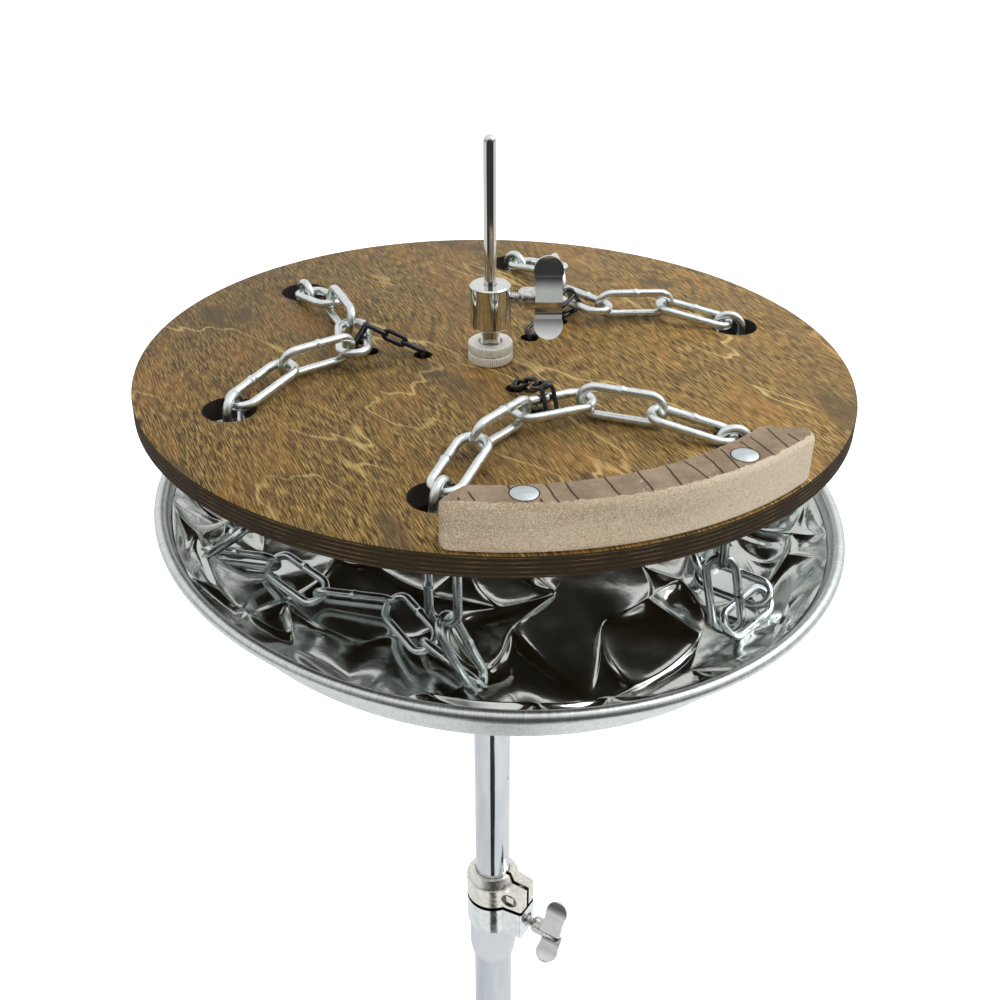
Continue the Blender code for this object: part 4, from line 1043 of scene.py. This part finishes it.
def crumpled_sheet():
    """Dented cells between raised folds, as a coarse cage that a subdivision surface rounds."""
    chance = Random(11)
    draw = chance.uniform
    spots = scattered(draw)
    flat, _, triangles, *_ = delaunay_2d_cdt([spot.xy for spot in spots], [], [], 0, 0.0001)
    shape = bmesh.new()
    verts = [shape.verts.new((x, y, 0)) for x, y in flat]
    for triangle in triangles:
        shape.faces.new([verts[i] for i in triangle])
    shape.verts.ensure_lookup_table()
    gone = [face for face in shape.faces if face.calc_center_median().length < sheet_hole * 0.9]
    bmesh.ops.delete(shape, geom=gone, context="FACES")
    joined_up = [edge for edge in shape.edges
                 if not edge.is_boundary and chance.random() < joined_share]
    bmesh.ops.dissolve_edges(shape, edges=joined_up, use_verts=False)
    for face in [face for face in shape.faces if face.calc_area() < smallest_cell]:
        inside = [edge for edge in face.edges if not edge.is_boundary] if face.is_valid else []
        if inside:
            longest = max(inside, key=lambda edge: edge.calc_length())
            bmesh.ops.dissolve_edges(shape, edges=[longest], use_verts=False)
    for vert in shape.verts:
        edge_fade = min(1.0, (sheet_reach - vert.co.length) / 0.012, (vert.co.length - sheet_hole) / 0.02)
        vert.co.z = draw(*ridge_heights) * max(0.0, edge_fade)
    for edge in [edge for edge in shape.edges if not edge.is_boundary]:
        start, end = edge.verts[0].co.copy(), edge.verts[1].co.copy()
        _, middle = bmesh.utils.edge_split(edge, edge.verts[0], 0.5)
        aside = Vector((start.y - end.y, end.x - start.x, 0)) * draw(-0.14, 0.14)
        middle.co = (start + end) / 2 + aside
        middle.co.z = max(0.0004, (start.z + end.z) / 2 + draw(-0.0022, 0.0008))
    crease = shape.edges.layers.float.new("crease_edge")
    folds = shape.edges[:]
    for face in shape.faces[:]:
        centre = face.calc_center_median()
        lean = Vector((draw(-fold_lean, fold_lean), draw(-fold_lean, fold_lean), 0))
        border = list(face.verts)
        inner = []
        for vert in border:
            inward = centre - vert.co
            inward.z = 0
            spot = vert.co + inward * min(0.42, fold_inset / max(inward.length, 0.001))
            spot.z = 0.0006 + max(0.0, lean.dot(spot - centre)) + 0.10 * vert.co.z
            inner.append(shape.verts.new(spot))
        bmesh.ops.delete(shape, geom=[face], context="FACES_ONLY")
        shape.faces.new(inner)
        for i in range(len(border)):
            j = (i + 1) % len(border)
            shape.faces.new((border[i], border[j], inner[j], inner[i]))
    for edge in folds:
        edge[crease] = draw(0.65, 1.0)
    for vert in shape.verts:
        vert.co = laid(vert.co.x, vert.co.y, vert.co.z)
    bmesh.ops.recalc_face_normals(shape, faces=shape.faces)
    mesh = mesh_of(shape, "crumpled_sheet")
    mesh.shade_smooth()
    return mesh


def pan_profile():
    half = pan_sheet / 2
    bead = 0.0064 / 2 - half
    bead_radius = pan_rim_radius - 0.0032
    bead_height = pan_floor + pan_depth - 0.0032
    floor = pan_floor - half
    rise, lean = bead_height - floor, bead_radius - bead - pan_floor_radius
    corner = 0.009
    wall_angle = asin(rise / sqrt(rise * rise + lean * lean))
    tangent = corner * tan(wall_angle / 2)
    points = [(0.010 + (pan_floor_radius - tangent - 0.010) * i / 60, floor) for i in range(60)]
    for i in range(7):
        turn = wall_angle * i / 6
        points.append((pan_floor_radius - tangent + corner * sin(turn), floor + corner * (1 - cos(turn))))
    foot = points[-1]
    for i in range(1, 12):
        share = i / 12
        points.append((foot[0] + (bead_radius - bead - foot[0]) * share,
                       foot[1] + (bead_height - foot[1]) * share))
    for i in range(25):
        angle = radians(180 - 290 * i / 24)
        points.append((bead_radius + bead * cos(angle), bead_height + bead * sin(angle)))
    return points


def build_pan():
    place = pan_frame @ shift((pan_offset, 0, 0))
    pan = turned("rolled_pan", pan_profile(), 288, None, place)
    shell = pan.modifiers.new("sheet", "SOLIDIFY")
    shell.thickness = pan_sheet
    shell.offset = 0
    finish_piece(pan, "seat_and_pan", "galvanised", ("pan",), "pan_outside")
    sheet = add_object("crumpled_sheet", crumpled_sheet(), place)
    rounding = sheet.modifiers.new("rounding", "SUBSURF")
    rounding.levels = rounding.render_levels = 3
    finish_piece(sheet, "seat_and_pan", "galvanised", (), "pan_inside")


# Stand

def build_tubes():
    top = pan_pivot - 0.004 - 0.002 - gap * 3
    tube = turned("long_tube", [(tube_radius, top), (tube_radius, tube_end), (tube_bore, tube_end),
                                (tube_bore, top)], 96)
    finish_piece(tube, "upper_stage", "chrome", ("upper_tube",), "tube_chrome")
    low = turned("base_tube", [(low_tube_radius, low_tube_top), (low_tube_radius, 0), (low_tube_bore, 0),
                               (low_tube_bore, low_tube_top)], 96)
    finish_piece(low, "stand", "chrome", ("lower_tube",), "tube_chrome")
    profile = [(0.0149, 0.1092), (0.0153, 0.1088), (0.0153, 0.0840), (0.0152, 0.0832), (0.0140, 0.0763),
               (0.0137, 0.0759), (0.0130, 0.0759), (0.0130, 0.1092)]
    ferrule = turned("tapered_ferrule", profile, 96)
    finish_piece(ferrule, "stand", "nylon", ("tube_ferrule",), "nylon")


def casting_outline(count=64):
    body, reach, half = 0.0170, 0.0270, 0.0100
    meet = asin(half / body) * 180 / pi
    outline = arc(0, 0, body, meet, 360 - meet, count)
    tip = half * 0.85
    chamfer = 0.001
    return outline + [(reach - chamfer, -tip), (reach, -tip + chamfer), (reach, tip - chamfer),
                      (reach - chamfer, tip)]


def drill(radius, low, high, matrix, steps=48):
    shape = bmesh.new()
    add_cylinder(shape, radius, high - low, (0, 0, (high + low) / 2), steps)
    return add_object("drill", mesh_of(shape, "drill"), matrix)


def build_castings():
    turn = spin(casting_angle, "Z")
    clamp = plate("cast_clamp", casting_outline(), clamp_bottom, clamp_top, turn)
    boolean(clamp, drill(0.0116, 0.10, 0.14, turn, 96))
    boolean(clamp, drill(0.0130, 0.10, 0.116, turn, 96))
    bolt_line = shift((0, 0, clamp_bolt_height)) @ turn @ Matrix.Rotation(pi / 2, 4, "Y")
    boolean(clamp, drill(0.0033, 0.010, 0.037, bolt_line))
    boolean(clamp, drill(0.0052, 0.0255, 0.037, bolt_line))
    bevelled(clamp, 0.0009)
    finish_piece(clamp, "stand", "chrome", ("height_clamp",), "clamp_chrome")
    base = shift((0, 0, collar_bottom)) @ turn
    collar = plate("split_collar", casting_outline(), 0.0, collar_height, base)
    cone = turned("cone", [(0, 0.021), (0.0135, 0.021), (0.0162, 0.0142), (0, 0.0142)], 96, False, base)
    boolean(collar, cone, "UNION")
    boolean(collar, drill(0.0114, -0.01, 0.03, base, 96))
    shape = bmesh.new()
    slit = Matrix.Diagonal((0.037, 0.0026, 0.05, 1))
    bmesh.ops.create_cube(shape, size=1, matrix=shift((0.0185, 0, 0.01)) @ slit)
    boolean(collar, add_object("slot", mesh_of(shape, "slot"), base))
    key_line = base @ shift((0.0185, 0, 0.0075)) @ Matrix.Rotation(pi / 2, 4, "X")
    boolean(collar, drill(0.0028, -0.02, 0.02, key_line))
    boolean(collar, drill(0.00535, 0.0045, 0.02, key_line))
    bevelled(collar, 0.0007)
    finish_piece(collar, "collar", "nickel", ("memory_collar",), "nickel")


def dress_cad_nodes():
    """The pieces that keep their CAD shape get a material of the scene."""
    dressed = {"chrome": ("lower_washer", "tilt_plate"), "felt": ("seat_felt",),
               "nickel": ("lower_nut", "rod_collar", "seat_cup", "tilter_screw", "memory_key_bolt"),
               "nylon": ("rod_guide", "spring_seat", "tilter_pad")}
    for look, nodes in dressed.items():
        for node in nodes:
            cad_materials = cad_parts[node].data.materials
            cad_materials.clear()
            cad_materials.append(materials[look])


set_camera()
set_world()
add_floor()
add_dark_floor()
area_light("key", (0.66, 0.10, 1.25), (0.05, 0.0, 0.5), 0.6, 0.6, 4.6)
area_light("front", (0.30, -1.40, 0.85), (0.0, 0.0, 0.45), 0.9, 0.5, 7, False)
area_light("fill", (-1.1, -0.5, 1.2), (0.0, 0.0, 0.5), 0.9, 0.9, 2.5, False)
link_places = build_strands()
build_loops(link_places)
build_board()
build_block()
build_ties(link_places)
build_rod()
build_spring()
build_clutch()
knurled("upper_ring", "knurled_nut", "top_nut", 0.0112, 72, 0.0062)
knurled("lower_ring", "knurled_lock_nut", "lock_nut", 0.0112, 72)
wing_bolt("clutch_thumb_bolt", "clutch_wing_bolt", "clutch_wing", 0.0105,
          shift((rod_radius + gap, 0, clutch_wing_height)) @ spin(84, "X"),
          (0.47, 0.16, 0.44))
wing_bolt("clamp_thumb_bolt", "clamp_wing_bolt", "clamp_wing", 0.0200,
          shift((0, 0, clamp_bolt_height)) @ spin(casting_angle, "Z")
          @ shift((0.0114, 0, 0)) @ spin(55, "X"), (0.16, -0.02, 0.30))
build_pan()
build_tubes()
build_castings()
dress_cad_nodes()
